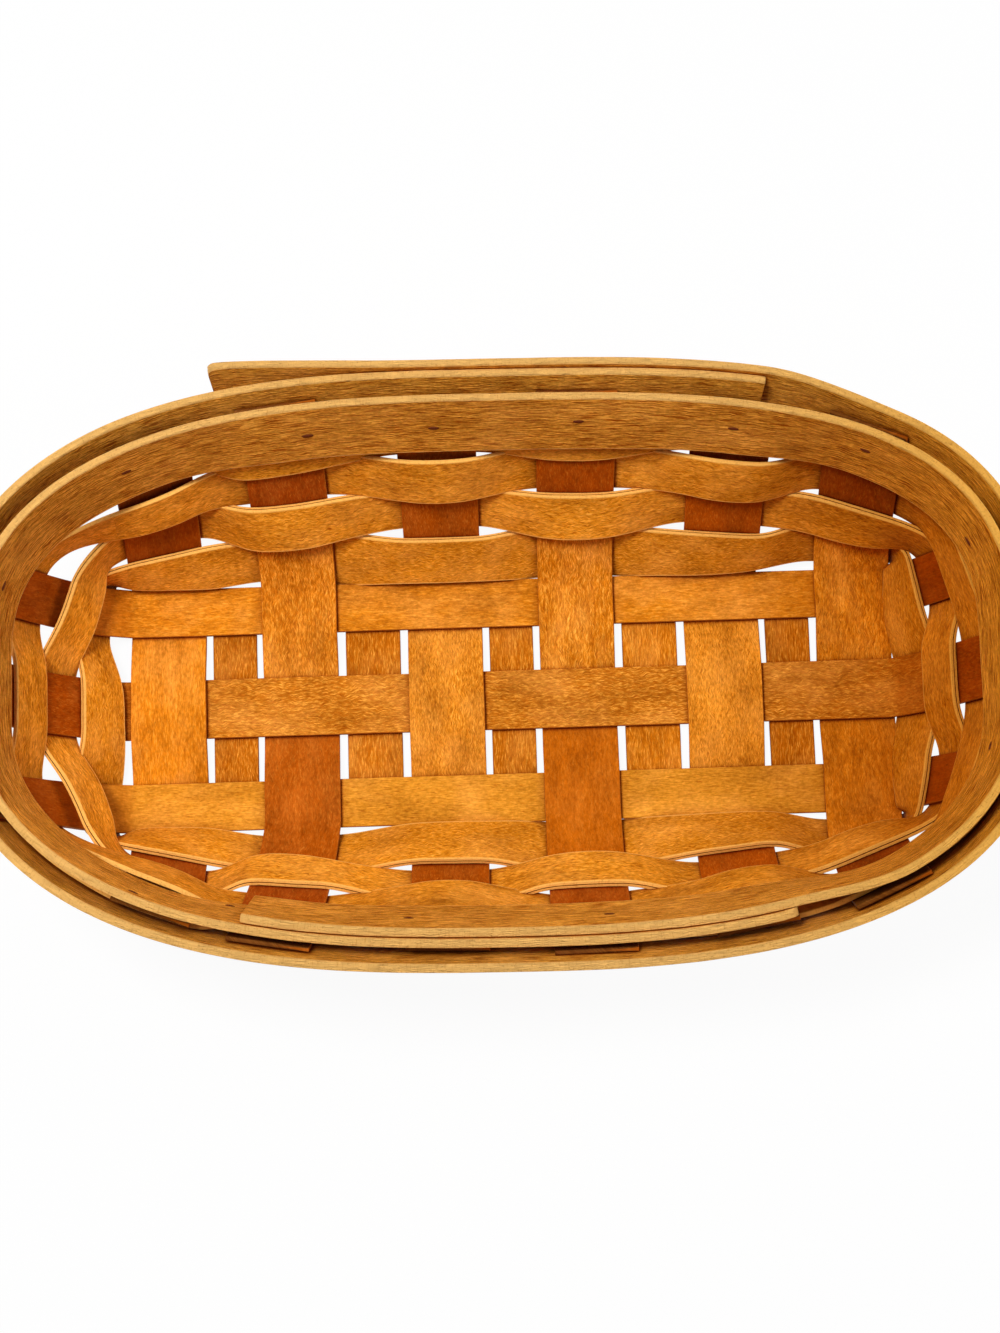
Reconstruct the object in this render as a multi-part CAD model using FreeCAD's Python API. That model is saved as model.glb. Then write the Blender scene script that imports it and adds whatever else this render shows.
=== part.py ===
import FreeCAD, Part
import math
import os

Vector = FreeCAD.Vector

# Open oval basket of plaited wooden splints.
# Origin on the ground under the middle of the rim, X lengthwise, Y to the back, Z up. Millimetres.

# Splints that make the base and the uprights
splint_thickness = 1.3
wide_width = 22.2
middle_width = 17.5
outer_width = 14.3
lengthwise_gap = 13.2
narrow_pair_pitch = 39.0
wide_pair_pitch = 43.0
base_shift = 3.4
weave_play = 0.12
flat_ease = 2.0
bend_ease = 1.5
under_reach = 3.4

# Filler strips that lie between the wide crosswise splints
narrow_filler_width = 12.7
wide_filler_width = 15.9
filler_end_inset = 1.0

# Weaver rows; the lowest ones are of two plies
row_count = 4
double_rows = 2
double_thickness = 2.2
single_thickness = 1.4
first_row_rise = 1.5
last_row_drop = 11.0
row_gap = 0.15
row_play = 0.2
row_slacks = ((0.3, 0.1), (1.6, 0.0), (2.4, 2.0), (0.0, 0.0))
flat_reach = 0.62
flat_middle = 0.25
corner_reach = 0.5
corner_fullness = 0.53

# Wall, taken along the middle of the uprights' thickness
rim_half_length = 141.0
rim_back_depth = 77.1
rim_front_depth = 76.6
back_left_roundness = 2.73
back_right_roundness = 2.95
front_left_roundness = 2.63
front_right_roundness = 2.54
rim_skew = -0.013
rim_height = 62.0
back_knee = (0.52, 21.6)
front_knee = (0.66, 18.6)
left_knee = (0.67, 19.6)
right_knee = (0.64, 22.3)
corner_gather = 3.5
upright_tip_drop = 4.5
tuck_start = 0.58
tuck_end = 0.74

# Rim bands
band_width = 20.0
band_thickness = 2.5
rim_play = 0.3
lap_play = 0.15
lap_step_length = 34.0
hoop_stations = 121
outer_corner_slack = 0.7
outer_lap_left = -75.0
outer_lap_right = 69.7
outer_free_end_lift = 5.0
outer_free_length = 60.0
inner_lap_left = -71.4
inner_lap_right = 76.8

# Facets that follow the bends
facets_per_pole = 2
flat_limit = 1e-7

# Heights of the three layers of the base weave, at the middle of each layer
layer_step = splint_thickness + weave_play
layer_low = splint_thickness / 2
layer_mid = layer_low + layer_step
layer_high = layer_mid + layer_step

# Places of the splints on the base
lengthwise_y = middle_width / 2 + lengthwise_gap + outer_width / 2
base_half_depth = lengthwise_y + outer_width / 2
crosswise_offsets = (narrow_pair_pitch / 2,
                     narrow_pair_pitch / 2 + wide_pair_pitch,
                     narrow_pair_pitch * 1.5 + wide_pair_pitch)
crosswise_x = [base_shift - off for off in reversed(crosswise_offsets)]
crosswise_x += [base_shift + off for off in crosswise_offsets]
base_half_length = crosswise_offsets[-1] + wide_width / 2

# Clear way between the bands: one upright, one weaver and their play
band_gap = splint_thickness + single_thickness + row_play + rim_play * 2
band_offset = band_gap / 2 + band_thickness / 2


def unit(vector):
    return vector / vector.Length


def blend(start, end, share):
    return start * (1 - share) + end * share


def smooth_step(share):
    share = min(1.0, max(0.0, share))
    return share * share * (3 - 2 * share)


def quarter(x, y):
    """Depth and roundness of the quarter of the rim oval that lies towards x and y."""
    if y >= 0:
        return rim_back_depth, back_right_roundness if x >= 0 else back_left_roundness
    return rim_front_depth, front_right_roundness if x >= 0 else front_left_roundness


def rim_point(angle):
    """Point of the rim oval in plan at a polar angle."""
    depth, power = quarter(math.cos(angle), math.sin(angle))
    reach_x = abs(math.cos(angle)) / rim_half_length
    reach_y = abs(math.sin(angle)) / depth
    radius = (reach_x ** power + reach_y ** power) ** (-1 / power)
    return Vector(radius * math.cos(angle), radius * (math.sin(angle) + rim_skew * math.cos(angle)), 0)


def rim_outward(point):
    """Unit vector square to the rim oval in plan, pointing out of the basket."""
    y = point.y - rim_skew * point.x
    depth, power = quarter(point.x, y)
    pull_x = math.copysign((abs(point.x) / rim_half_length) ** (power - 1) / rim_half_length, point.x)
    pull_y = math.copysign((abs(y) / depth) ** (power - 1) / depth, y)
    return unit(Vector(pull_x - rim_skew * pull_y, pull_y, 0))


def rim_y(x, side):
    """Where the rim oval crosses the given x, on the back (side 1) or the front (side -1)."""
    depth, power = quarter(x, side)
    return side * depth * (1 - (abs(x) / rim_half_length) ** power) ** (1 / power) + rim_skew * x


def rim_x(y, side):
    """Where the rim oval crosses the given y, at the right end (side 1) or the left (side -1)."""
    straight = y - rim_skew * side * rim_half_length
    depth, power = quarter(side, straight)
    return side * rim_half_length * (1 - (abs(straight) / depth) ** power) ** (1 / power)


def row_thickness(row):
    return double_thickness if row < double_rows else single_thickness


def row_lift(row):
    """How far the middle of a weaver lies from the middle of the upright that it passes."""
    return (splint_thickness + row_thickness(row)) / 2 + row_play


class Upright:
    """One leg of a splint, from the edge of the base up the wall to the rim."""

    def __init__(self, foot, away, rim, width, knee, outside_first):
        """outside_first tells that the first weaver row passes on the inner side of this leg."""
        self.foot = foot
        self.away = away
        self.rim = rim
        self.width = width
        self.knee_share, self.knee_height = knee
        self.outside_first = outside_first
        self.rim_out = rim_outward(rim)
        self.rim_across = Vector(self.rim_out.y, -self.rim_out.x, 0)
        self.foot_across = Vector(away.y, -away.x, 0)

    def wall_point(self, share):
        """Point of the smooth wall, a curve from the foot past a knee to the rim."""
        spread = self.rim - self.foot
        reach = Vector(self.away).dot(spread)
        sideways = spread - self.away * reach
        knee = self.foot + self.away * (reach * self.knee_share) + sideways * self.knee_share
        knee.z = self.knee_height
        top = Vector(self.rim.x, self.rim.y, rim_height)
        bottom = Vector(self.foot.x, self.foot.y, layer_mid)
        return bottom * (1 - share) ** 2 + knee * (2 * share * (1 - share)) + top * share ** 2

    def point(self, share):
        """Middle of the splint's thickness at a share of the wall's height."""
        return self.wall_point(share) + self.rim_out * self.tuck(share)

    def tuck(self, share):
        """Small step aside between the bands, to leave room for the last weaver row."""
        aside = (row_thickness(row_count - 1) + row_play) / 2
        side = 1 if self.row_inside(row_count - 1) else -1
        return side * aside * smooth_step((share - tuck_start) / (tuck_end - tuck_start))

    def row_inside(self, row):
        return self.outside_first == (row % 2 == 0)

    def lean(self):
        """How far the wall leans out behind the bands, for each millimetre of height."""
        chord = self.wall_point(1) - self.wall_point(share_at_slant(wall_slant - band_width))
        return chord.dot(self.rim_out) / chord.z

    def bow(self, low, high):
        """How far the curved wall stands out from the chord between two of its points."""
        middle = (low + high) / 2
        chord_middle = (self.point(low) + self.point(high)) / 2
        return abs((self.point(middle) - chord_middle).dot(self.outward(middle)))

    def rise(self, share):
        step = 0.001
        return unit(self.point(share + step) - self.point(share - step))

    def across(self, share):
        share = min(1.0, max(0.0, share))
        return unit(blend(self.foot_across, self.rim_across, 1 - (1 - share) ** 3))

    def outward(self, share):
        return unit(self.rise(share).cross(self.across(share)))


def crosswise_upright(index, side):
    foot_x = crosswise_x[index]
    gather = corner_gather if index in (0, len(crosswise_x) - 1) else 0
    top_x = foot_x - math.copysign(gather, foot_x)
    foot = Vector(foot_x, side * base_half_depth, 0)
    return Upright(foot, Vector(0, side, 0), Vector(top_x, rim_y(top_x, side), 0), wide_width,
                   back_knee if side > 0 else front_knee, index % 2 == 0)


def lengthwise_upright(index, side):
    foot_y = (lengthwise_y, 0, -lengthwise_y)[index]
    width = (outer_width, middle_width, outer_width)[index]
    foot = Vector(base_shift + side * base_half_length, foot_y, 0)
    right_end = side > 0
    outside_first = (index != 1) == right_end
    return Upright(foot, Vector(side, 0, 0), Vector(rim_x(foot_y, side), foot_y, 0), width,
                   right_knee if right_end else left_knee, outside_first)


last = len(crosswise_x) - 1
back_uprights = [crosswise_upright(index, 1) for index in range(last + 1)]
front_uprights = [crosswise_upright(index, -1) for index in range(last + 1)]
right_uprights = [lengthwise_upright(index, 1) for index in range(3)]
left_uprights = [lengthwise_upright(index, -1) for index in range(3)]
ring = back_uprights + right_uprights + front_uprights[::-1] + left_uprights[::-1]


# Steps up the wall behind the middle of the basket, along which the rows are spaced
slant_leg = back_uprights[last // 2]
slant_count = 400
slant_points = [slant_leg.wall_point(step / slant_count) for step in range(slant_count + 1)]
slant_steps = [(point - before).Length for before, point in zip(slant_points, slant_points[1:])]
wall_slant = sum(slant_steps)
row_pitch = (wall_slant - first_row_rise - last_row_drop) / row_count
row_width = row_pitch - row_gap


def share_at_slant(slant):
    """Share of the wall's height that lies the given distance up the long side."""
    travelled = 0.0
    for step, stretch in enumerate(slant_steps):
        if travelled + stretch >= slant:
            return (step + (slant - travelled) / stretch) / slant_count
        travelled += stretch
    return 1.0


def eased_line(poles, closed):
    """Points of a smooth line that stays within its poles, and is straight where they are in line."""
    curve = Part.BSplineCurve()
    curve.buildFromPoles(poles, closed, 3)
    count = len(poles) * facets_per_pole
    reach = curve.LastParameter - curve.FirstParameter
    stops = count if closed else count + 1
    return [curve.value(curve.FirstParameter + reach * step / count) for step in range(stops)]


def panel(corners):
    """Flat face on four corners, or two of them where the corners don't lie in one plane."""
    across = corners[2] - corners[0]
    normal = (corners[1] - corners[0]).cross(across)
    if abs(unit(normal).dot(corners[3] - corners[0])) < flat_limit:
        return [Part.Face(Part.makePolygon(corners + corners[:1]))]
    halves = (corners[:3], corners[2:] + corners[:1])
    return [Part.Face(Part.makePolygon(half + half[:1])) for half in halves]


def solid_between(lines, closed):
    """Solid strip whose four long edges are the given lines of points."""
    faces = []
    count = len(lines[0])
    for side in range(4):
        line = lines[side]
        other = lines[(side + 1) % 4]
        for step in range(count if closed else count - 1):
            onward = (step + 1) % count
            faces += panel([line[step], line[onward], other[onward], other[step]])
    if not closed:
        faces += panel([line[0] for line in lines])
        faces += panel([line[-1] for line in lines])
    shell = Part.Shell(faces)
    shell.sewShape()
    solid = Part.Solid(shell)
    if solid.Volume < 0:
        solid.reverse()
    return solid


def strip(frames, width, thickness):
    """Open strip along frames of centre, width direction and thickness direction."""
    lines = []
    for wide, thick in ((-1, -1), (1, -1), (1, 1), (-1, 1)):
        lines.append(eased_line([centre + across * (wide * width / 2) + normal * (thick * thickness / 2)
                                 for centre, across, normal in frames], False))
    return solid_between(lines, False)


wall_shares = (0.14, 0.24, 0.35, 0.47, 0.58, 0.66, 0.74, 0.86)


def edge_reach(under):
    """How far past the base's edge a splint lies flat: farther where it comes from below."""
    return under_reach if under else -bend_ease


def upright_frames(leg, across_sign):
    """Frames up one wall, from just above the base to the splint's tip."""
    tip = share_at_slant(wall_slant - upright_tip_drop)
    return [(leg.point(share), leg.across(share) * across_sign, leg.outward(share) * -1)
            for share in wall_shares + (tip,)]


def crosswise_splint(index):
    """Wide splint that runs under and over the lengthwise ones and up both long walls."""
    x = crosswise_x[index]
    outer_level, middle_level = (layer_low, layer_high) if index % 2 == 0 else (layer_high, layer_low)
    right = Vector(1, 0, 0)
    up = Vector(0, 0, 1)
    half_outer = outer_width / 2
    half_middle = middle_width / 2
    half_side = ((0, middle_level), (half_middle - flat_ease, middle_level), (half_middle, middle_level),
                 ((half_middle + lengthwise_y - half_outer) / 2, layer_mid),
                 (lengthwise_y - half_outer, outer_level),
                 (lengthwise_y - half_outer + flat_ease, outer_level), (lengthwise_y, outer_level),
                 (base_half_depth - flat_ease, outer_level),
                 (base_half_depth + edge_reach(index % 2 == 0), outer_level))
    stations = [(-y, z) for y, z in half_side[:0:-1]] + list(half_side)
    base = [(Vector(x, y, z), right, up) for y, z in stations]
    front = upright_frames(front_uprights[index], -1)[::-1]
    back = upright_frames(back_uprights[index], 1)
    return strip(front + base + back, wide_width, splint_thickness)


def lengthwise_splint(index):
    """Splint that lies flat in the middle layer of the base and rises at both ends."""
    y = (lengthwise_y, 0, -lengthwise_y)[index]
    width = (outer_width, middle_width, outer_width)[index]
    back = Vector(0, 1, 0)
    up = Vector(0, 0, 1)
    left_leg = left_uprights[index]
    right_leg = right_uprights[index]
    left_end = -base_half_length - edge_reach(left_leg.outside_first)
    right_end = base_half_length + edge_reach(right_leg.outside_first)
    stations = [base_shift + x for x in (left_end, flat_ease - base_half_length, 0,
                                         base_half_length - flat_ease, right_end)]
    base = [(Vector(x, y, layer_mid), back, up) for x in stations]
    left = upright_frames(left_leg, 1)[::-1]
    right = upright_frames(right_leg, -1)
    return strip(left + base + right, width, splint_thickness)


def filler(index):
    """Flat strip under the lengthwise splints, between two wide crosswise ones."""
    x = (crosswise_x[index] + crosswise_x[index + 1]) / 2
    width = narrow_filler_width if index % 2 == 0 else wide_filler_width
    half = base_half_depth - filler_end_inset
    return Part.makeBox(width, half * 2, splint_thickness, Vector(x - width / 2, -half, 0))


def turns(leg, after):
    """True where the wall goes round a corner between two uprights."""
    return abs(leg.away.dot(after.away)) < 0.5


def corner_pole(leg, after, share, out):
    """Pole that draws a weaver round a corner, towards where both runs would meet."""
    start = leg.point(share) + leg.outward(share) * out
    end = after.point(share) + after.outward(share) * out
    start_run = leg.across(share)
    end_run = after.across(share)
    apart = end - start
    reach = (apart.x * end_run.y - apart.y * end_run.x) / (start_run.x * end_run.y - start_run.y * end_run.x)
    meeting = start + start_run * reach
    near_start = start + start_run * (leg.width / 2)
    near_end = end - end_run * (after.width / 2)
    middle = (near_start + near_end) / 2
    meeting.z = middle.z
    return blend(middle, meeting, corner_fullness)


def weaver(row):
    """Closed ring that passes inside and outside the uprights by turns."""
    low = share_at_slant(first_row_rise + row * row_pitch)
    high = share_at_slant(first_row_rise + row * row_pitch + row_width)
    half_thickness = row_thickness(row) / 2
    slack_low, slack_high = row_slacks[row]
    lines = []
    for share, slack, face in ((low, slack_low, -1), (high, slack_high, -1),
                               (high, slack_high, 1), (low, slack_low, 1)):
        points = []
        for place, leg in enumerate(ring):
            before = ring[place - 1]
            after = ring[(place + 1) % len(ring)]
            lift = -row_lift(row) if leg.row_inside(row) else row_lift(row) + leg.bow(low, high)
            loose = slack if leg.row_inside(row) and leg.away.y != 0 else 0.0
            start = corner_reach if turns(before, leg) else flat_reach
            end = corner_reach if turns(leg, after) else flat_reach
            for along, bow in ((-start, 0.0), (-flat_middle, loose), (flat_middle, loose), (end, 0.0)):
                centre = leg.point(share) + leg.across(share) * (along * leg.width)
                points.append(centre + leg.outward(share) * (lift - bow + face * half_thickness))
            if turns(leg, after):
                points.append(corner_pole(leg, after, share, face * half_thickness))
        lines.append(eased_line(points, True))
    return solid_between(lines, True)


def turn_of(point):
    return math.atan2(point.y, point.x) % (2 * math.pi)


lean_by_turn = sorted((turn_of(leg.rim), leg.lean()) for leg in ring)


def lean_at(angle):
    """Lean of the wall at a polar angle, eased from one upright to the next."""
    turn = angle % (2 * math.pi)
    before = (lean_by_turn[-1][0] - 2 * math.pi, lean_by_turn[-1][1])
    for after in lean_by_turn + [(lean_by_turn[0][0] + 2 * math.pi, lean_by_turn[0][1])]:
        if turn <= after[0]:
            return blend(before[1], after[1], smooth_step((turn - before[0]) / (after[0] - before[0])))
        before = after
    return before[1]


def band_frame(angle, offset):
    """Top point of a band's middle at a polar angle, its direction up the wall and outward."""
    plan = rim_point(angle)
    outward = rim_outward(plan)
    rise = unit(outward * lean_at(angle) + Vector(0, 0, 1))
    normal = unit(outward - rise * outward.dot(rise))
    top = Vector(plan.x, plan.y, rim_height) + outward * (offset / normal.dot(outward))
    return top, rise, normal


def band(angles, offset_at):
    """Open hoop along the given angles; offset_at gives the place out from the oval."""
    lines = []
    for drop, face in ((0, -1), (0, 1), (band_width, 1), (band_width, -1)):
        points = []
        for angle in angles:
            top, rise, normal = band_frame(angle, offset_at(angle) + face * band_thickness / 2)
            points.append(top - rise * drop)
        lines.append(points)
    return solid_between(lines, False)


def angle_at(x, side):
    """Polar angle of the rim oval where it crosses the given x on one long side."""
    return math.atan2(rim_y(x, side) - rim_skew * x, x)


def spaced(start, end, count):
    return [start + (end - start) * step / (count - 1) for step in range(count)]


def arc_between(x, side, angle):
    """Rough distance along the rim from where it crosses x to the given angle."""
    return (rim_point(angle) - rim_point(angle_at(x, side))).Length


def outer_band():
    start = angle_at(outer_lap_right, 1)
    end = angle_at(outer_lap_left, 1) + 2 * math.pi
    turn_end = start + 2 * math.pi

    def offset_at(angle):
        depth = quarter(math.cos(angle), math.sin(angle))[0]
        oval_turn = math.atan2(math.sin(angle) / depth, math.cos(angle) / rim_half_length)
        slack = outer_corner_slack * math.sin(2 * oval_turn) ** 2
        if angle < start + math.pi:
            return band_offset + slack
        before = arc_between(outer_lap_right, 1, angle)
        stepped = 1.0 if angle >= turn_end else 1 - smooth_step(before / lap_step_length)
        lift = (band_thickness + lap_play) * stepped
        left = max(0.0, 1 - arc_between(outer_lap_left, 1, angle) / outer_free_length)
        return band_offset + slack + lift + outer_free_end_lift * left ** 2

    return band(spaced(start, end, hoop_stations), offset_at)


def inner_band():
    start = angle_at(inner_lap_left, -1)
    end = angle_at(inner_lap_right, -1) + 2 * math.pi

    def offset_at(angle):
        if angle > start + math.pi:
            return -band_offset
        past = arc_between(inner_lap_right, -1, angle)
        inside = angle < angle_at(inner_lap_right, -1)
        stepped = 1.0 if inside else 1 - smooth_step(past / lap_step_length)
        return -band_offset - (band_thickness + lap_play) * stepped

    return band(spaced(start, end, hoop_stations), offset_at)


def save(name, shape):
    if not shape.isValid():
        print("not valid:", name)
    shape.exportStep(os.path.join("parts", name + ".step"))


def main():
    os.makedirs("parts", exist_ok=True)
    letters = "abcdef"
    shapes = {}
    for index, place in enumerate(("back", "middle", "front")):
        shapes["lengthwise_splint_" + place] = lengthwise_splint(index)
    for index, letter in enumerate(letters):
        shapes["crosswise_splint_" + letter] = crosswise_splint(index)
    for index in range(last):
        shapes["filler_strip_" + letters[index] + letters[index + 1]] = filler(index)
    for row in range(row_count):
        shapes["weaver_row_%d" % (row + 1)] = weaver(row)
    shapes["rim_band_inner"] = inner_band()
    shapes["rim_band_outer"] = outer_band()
    for name, shape in shapes.items():
        save(name, shape)


main()
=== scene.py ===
import math
from collections import namedtuple
from functools import partialmethod

import bpy
from mathutils import Matrix, Vector


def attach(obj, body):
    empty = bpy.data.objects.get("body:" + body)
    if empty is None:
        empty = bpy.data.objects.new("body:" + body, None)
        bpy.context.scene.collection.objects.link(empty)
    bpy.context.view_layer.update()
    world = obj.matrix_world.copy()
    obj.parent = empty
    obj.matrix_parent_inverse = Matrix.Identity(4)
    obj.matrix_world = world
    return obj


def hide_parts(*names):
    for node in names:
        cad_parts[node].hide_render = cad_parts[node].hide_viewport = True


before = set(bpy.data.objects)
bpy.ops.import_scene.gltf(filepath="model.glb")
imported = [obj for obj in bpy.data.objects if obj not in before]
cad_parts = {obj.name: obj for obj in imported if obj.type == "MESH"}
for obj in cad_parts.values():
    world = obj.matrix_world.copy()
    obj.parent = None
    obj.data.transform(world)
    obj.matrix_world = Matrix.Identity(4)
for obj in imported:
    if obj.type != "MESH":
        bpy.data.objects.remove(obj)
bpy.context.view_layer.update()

bl_info = {
    "name": "Plaited Splint Basket",
    "version": (1, 0, 0),
    "blender": (4, 5, 0),
    "location": "View3D > Sidebar > Basket",
    "description": "Makes an oval basket of plaited wooden splints over its packed solids",
    "category": "Add Mesh",
}

MM = 0.001
BODY = "root"


# Sizes and colours

def length(text, millimetres):
    return bpy.props.FloatProperty(description=text, default=millimetres * MM, unit="LENGTH", precision=5)


def share(text, value):
    return bpy.props.FloatProperty(description=text, default=value)


def power(text, value):
    return bpy.props.FloatProperty(description=text, default=value, unit="POWER")


def colour(text, value):
    return bpy.props.FloatVectorProperty(description=text, default=value, subtype="COLOR", min=0.0, max=1.0)


def labelled(group):
    """Gives each property of a group the name that its key says."""
    for key, entry in group.__annotations__.items():
        entry.keywords["name"] = key.replace("_", " ").capitalize()
    return group


@labelled
class SplintSizes(bpy.types.PropertyGroup):
    thickness: length("Thickness of every splint", 1.3)
    wide_width: length("Width of the crosswise splints", 22.2)
    middle_width: length("Width of the middle lengthwise splint", 17.5)
    outer_width: length("Width of the two outer lengthwise splints", 14.3)
    gap: length("Clear way between the lengthwise splints", 13.2)
    narrow_pitch: length("Pitch of crosswise splints with a narrow filler between", 39.0)
    wide_pitch: length("Pitch of crosswise splints with a wide filler between", 43.0)
    base_shift: length("How far the base lies towards +X under the rim", 3.4)
    play: length("Play between the layers of the base", 0.12)
    narrow_filler: length("Width of the narrow filler strips", 13.0)
    wide_filler: length("Width of the wide filler strips", 16.2)
    filler_inset: length("How far a filler ends within the base's edge", 1.0)
    rounding: length("Radius worn on the long edges", 0.22)


@labelled
class WallSizes(bpy.types.PropertyGroup):
    rim_half_length: length("Half length of the wall's oval at the rim", 141.0)
    rim_back: length("Depth of the wall's oval at the rim, to the back", 77.1)
    rim_front: length("Depth of the wall's oval at the rim, to the front", 76.6)
    roundness_bl: share("Power of the oval in this quarter: 2 is an ellipse", 2.73)
    roundness_br: share("Power of the oval in this quarter", 2.95)
    roundness_fl: share("Power of the oval in this quarter", 2.63)
    roundness_fr: share("Power of the oval in this quarter", 2.54)
    skew: share("How far the rim goes to the back for each unit to the right", -0.013)
    height: length("Height of the rim over the ground", 62.0)
    back_knee_height: length("Height of the knee on the back wall", 21.6)
    front_knee_height: length("Height of the knee on the front wall", 18.6)
    left_knee_height: length("Height of the knee on the left wall", 19.6)
    right_knee_height: length("Height of the knee on the right wall", 22.3)
    back_knee: share("Place of the knee on the back wall", 0.52)
    front_knee: share("Place of the knee on the front wall", 0.66)
    left_knee: share("Place of the knee on the left wall", 0.67)
    right_knee: share("Place of the knee on the right wall", 0.64)
    corner_gather: length("How far the outermost uprights draw in at the rim", 3.5)
    tip_drop: length("How far the uprights end under the rim", 4.5)


@labelled
class WeaverSizes(bpy.types.PropertyGroup):
    rows: bpy.props.IntProperty(description="Number of weaver rows", default=4)
    gap: length("Gap between two rows", 0.15)
    last_drop: length("How far the highest row ends under the rim", 11.0)
    double_thickness: length("Thickness of the two lowest rows, of two plies", 2.2)
    single_thickness: length("Thickness of the upper rows", 1.4)
    slack_low_1: length("How far row 1's lower edge bows inward", 0.3)
    slack_low_2: length("How far row 2's lower edge bows inward", 1.6)
    slack_low_3: length("How far row 3's lower edge bows inward", 2.4)
    slack_high_1: length("How far row 1's upper edge bows inward", 0.1)
    slack_high_2: length("How far row 2's upper edge bows inward", 0.0)
    slack_high_3: length("How far row 3's upper edge bows inward", 2.0)
    slack_end: length("How far the rows bow inward on the end walls", 0.0)
    corner_fullness: share("How far a weaver fills a corner", 0.53)
    first_rise: length("How far up the wall the lowest row starts", 1.5)
    play: length("Play between a weaver and the uprights", 0.2)
    groove: length("Depth of the groove between the two plies at a row's edge", 0.5)


@labelled
class RimSizes(bpy.types.PropertyGroup):
    width: length("Width of the two rim bands", 20.0)
    thickness: length("Thickness of the two rim bands", 2.5)
    play: length("Play between a band and the strips between the bands", 0.3)
    lap_step: length("Length over which a band steps over its own end", 34.0)
    outer_lap_left: length("Place along the back where the outer band ends", -75.0)
    outer_lap_right: length("Place along the back where the outer band starts", 73.2)
    inner_lap_left: length("Place along the front where the inner band starts", -71.4)
    inner_lap_right: length("Place along the front where the inner band ends", 76.8)
    free_end_lift: length("How far the outer band's free end stands off", 5.0)
    free_length: length("Length of the free end that stands off", 60.0)
    corner_slack: length("How far the outer band stands off at the corners", 0.7)
    rounding: length("Radius worn on the bands' long edges", 0.45)
    corner_radius: length("Radius cut on the top corner of a band's last end", 3.0)


@labelled
class WoodColours(bpy.types.PropertyGroup):
    base: colour("Wood of the splints", (0.73, 0.214, 0.007))
    # The shaded colour is painted shade: a darker, redder copy of the splints' wood that stands in for the shade on
    # the uprights behind the weavers.
    shaded: colour("Smooth dark wood of the uprights on the wall", (0.345, 0.055, 0.001))
    filler: colour("Wood of the filler strips", (0.56, 0.147, 0.003))
    weaver: colour("Wood of the weavers", (0.71, 0.232, 0.008))
    rim: colour("Wood of the bands' faces", (0.79, 0.305, 0.030))
    edge: colour("Wood at the cut edges of the bands", (1.0, 0.55, 0.158))
    # The splints' cut-edge colour is painted shadow: a dark line along the cut edge on the side away from the lamp,
    # left off on the lit side.
    splint_edge: colour("Wood at the cut edges of splints", (0.36, 0.09, 0.006))
    dark: colour("Dark lines of the grain", (0.36, 0.070, 0.001))
    light: colour("Light lines of the grain", (0.98, 0.43, 0.055))
    weaver_edge: colour("Wood at the cut edges of the weavers", (1.0, 0.53, 0.12))
    # The corner colours are painted shade: what is left of the colour in corners and beside overlapping strips, where
    # the material darkens the wood as shadow.
    corner: colour("What is left of the wood's colour deep in a corner", (0.36, 0.11, 0.02))
    band_corner: colour("What is left of a band's colour deep in a corner", (0.55, 0.33, 0.16))
    # The far end colours are painted shade: what is left of the colour at the right end of the basket, standing in
    # for light that falls off there.
    band_far_end: colour("What is left of a band's colour at the darker end", (0.88, 0.78, 0.45))
    far_end: colour("What is left of the wood's colour at the darker end on the right", (0.66, 0.50, 0.22))
    steel: colour("Metal of the tacks", (0.07, 0.012, 0.003))


@labelled
class StageSizes(bpy.types.PropertyGroup):
    focal_pixels: share("Focal length in pixels of the photograph", 1947.2)
    picture_height: share("Height of the photograph in pixels", 1333)
    axis_row: share("Row of the photograph that the lens axis meets", 760)
    roll: share("Turn of the camera about its axis, in degrees", 1.78)
    key_power: power("Power of the small lamp behind on the left", 8.4)
    side_power: power("Power of the wide lamp low on the right", 2.85)
    fill_strength: share("Strength of the even light from all sides", 0.20)


GROUPS = {
    "basket_splints": SplintSizes,
    "basket_wall": WallSizes,
    "basket_weavers": WeaverSizes,
    "basket_rim": RimSizes,
    "basket_colours": WoodColours,
    "basket_stage": StageSizes,
}


# Curves of the basket

UP = Vector((0, 0, 1))

# Shares of the wall's height between which an upright tucks in behind a band
TUCK_START = 0.58
TUCK_END = 0.74

# How far a splint lies flat before it steps to another layer, and on past or short of the base's edge
FLAT_EASE = 2.0 * MM
UNDER_REACH = 3.4 * MM
BEND_EASE = 1.5 * MM

# Places of a weaver's frames beside the middle of an upright, in shares of its width: last, middle, and at a corner
FLAT_REACH = 0.62
FLAT_MIDDLE = 0.25
CORNER_REACH = 0.5

# Frames between two poles, along a band and along a filler
PER_SPAN = 8
HOOP_STEPS = 420
FILLER_STEPS = 12

# Number of rows that are of two plies, counted from below
DOUBLE_ROWS = 2

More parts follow.
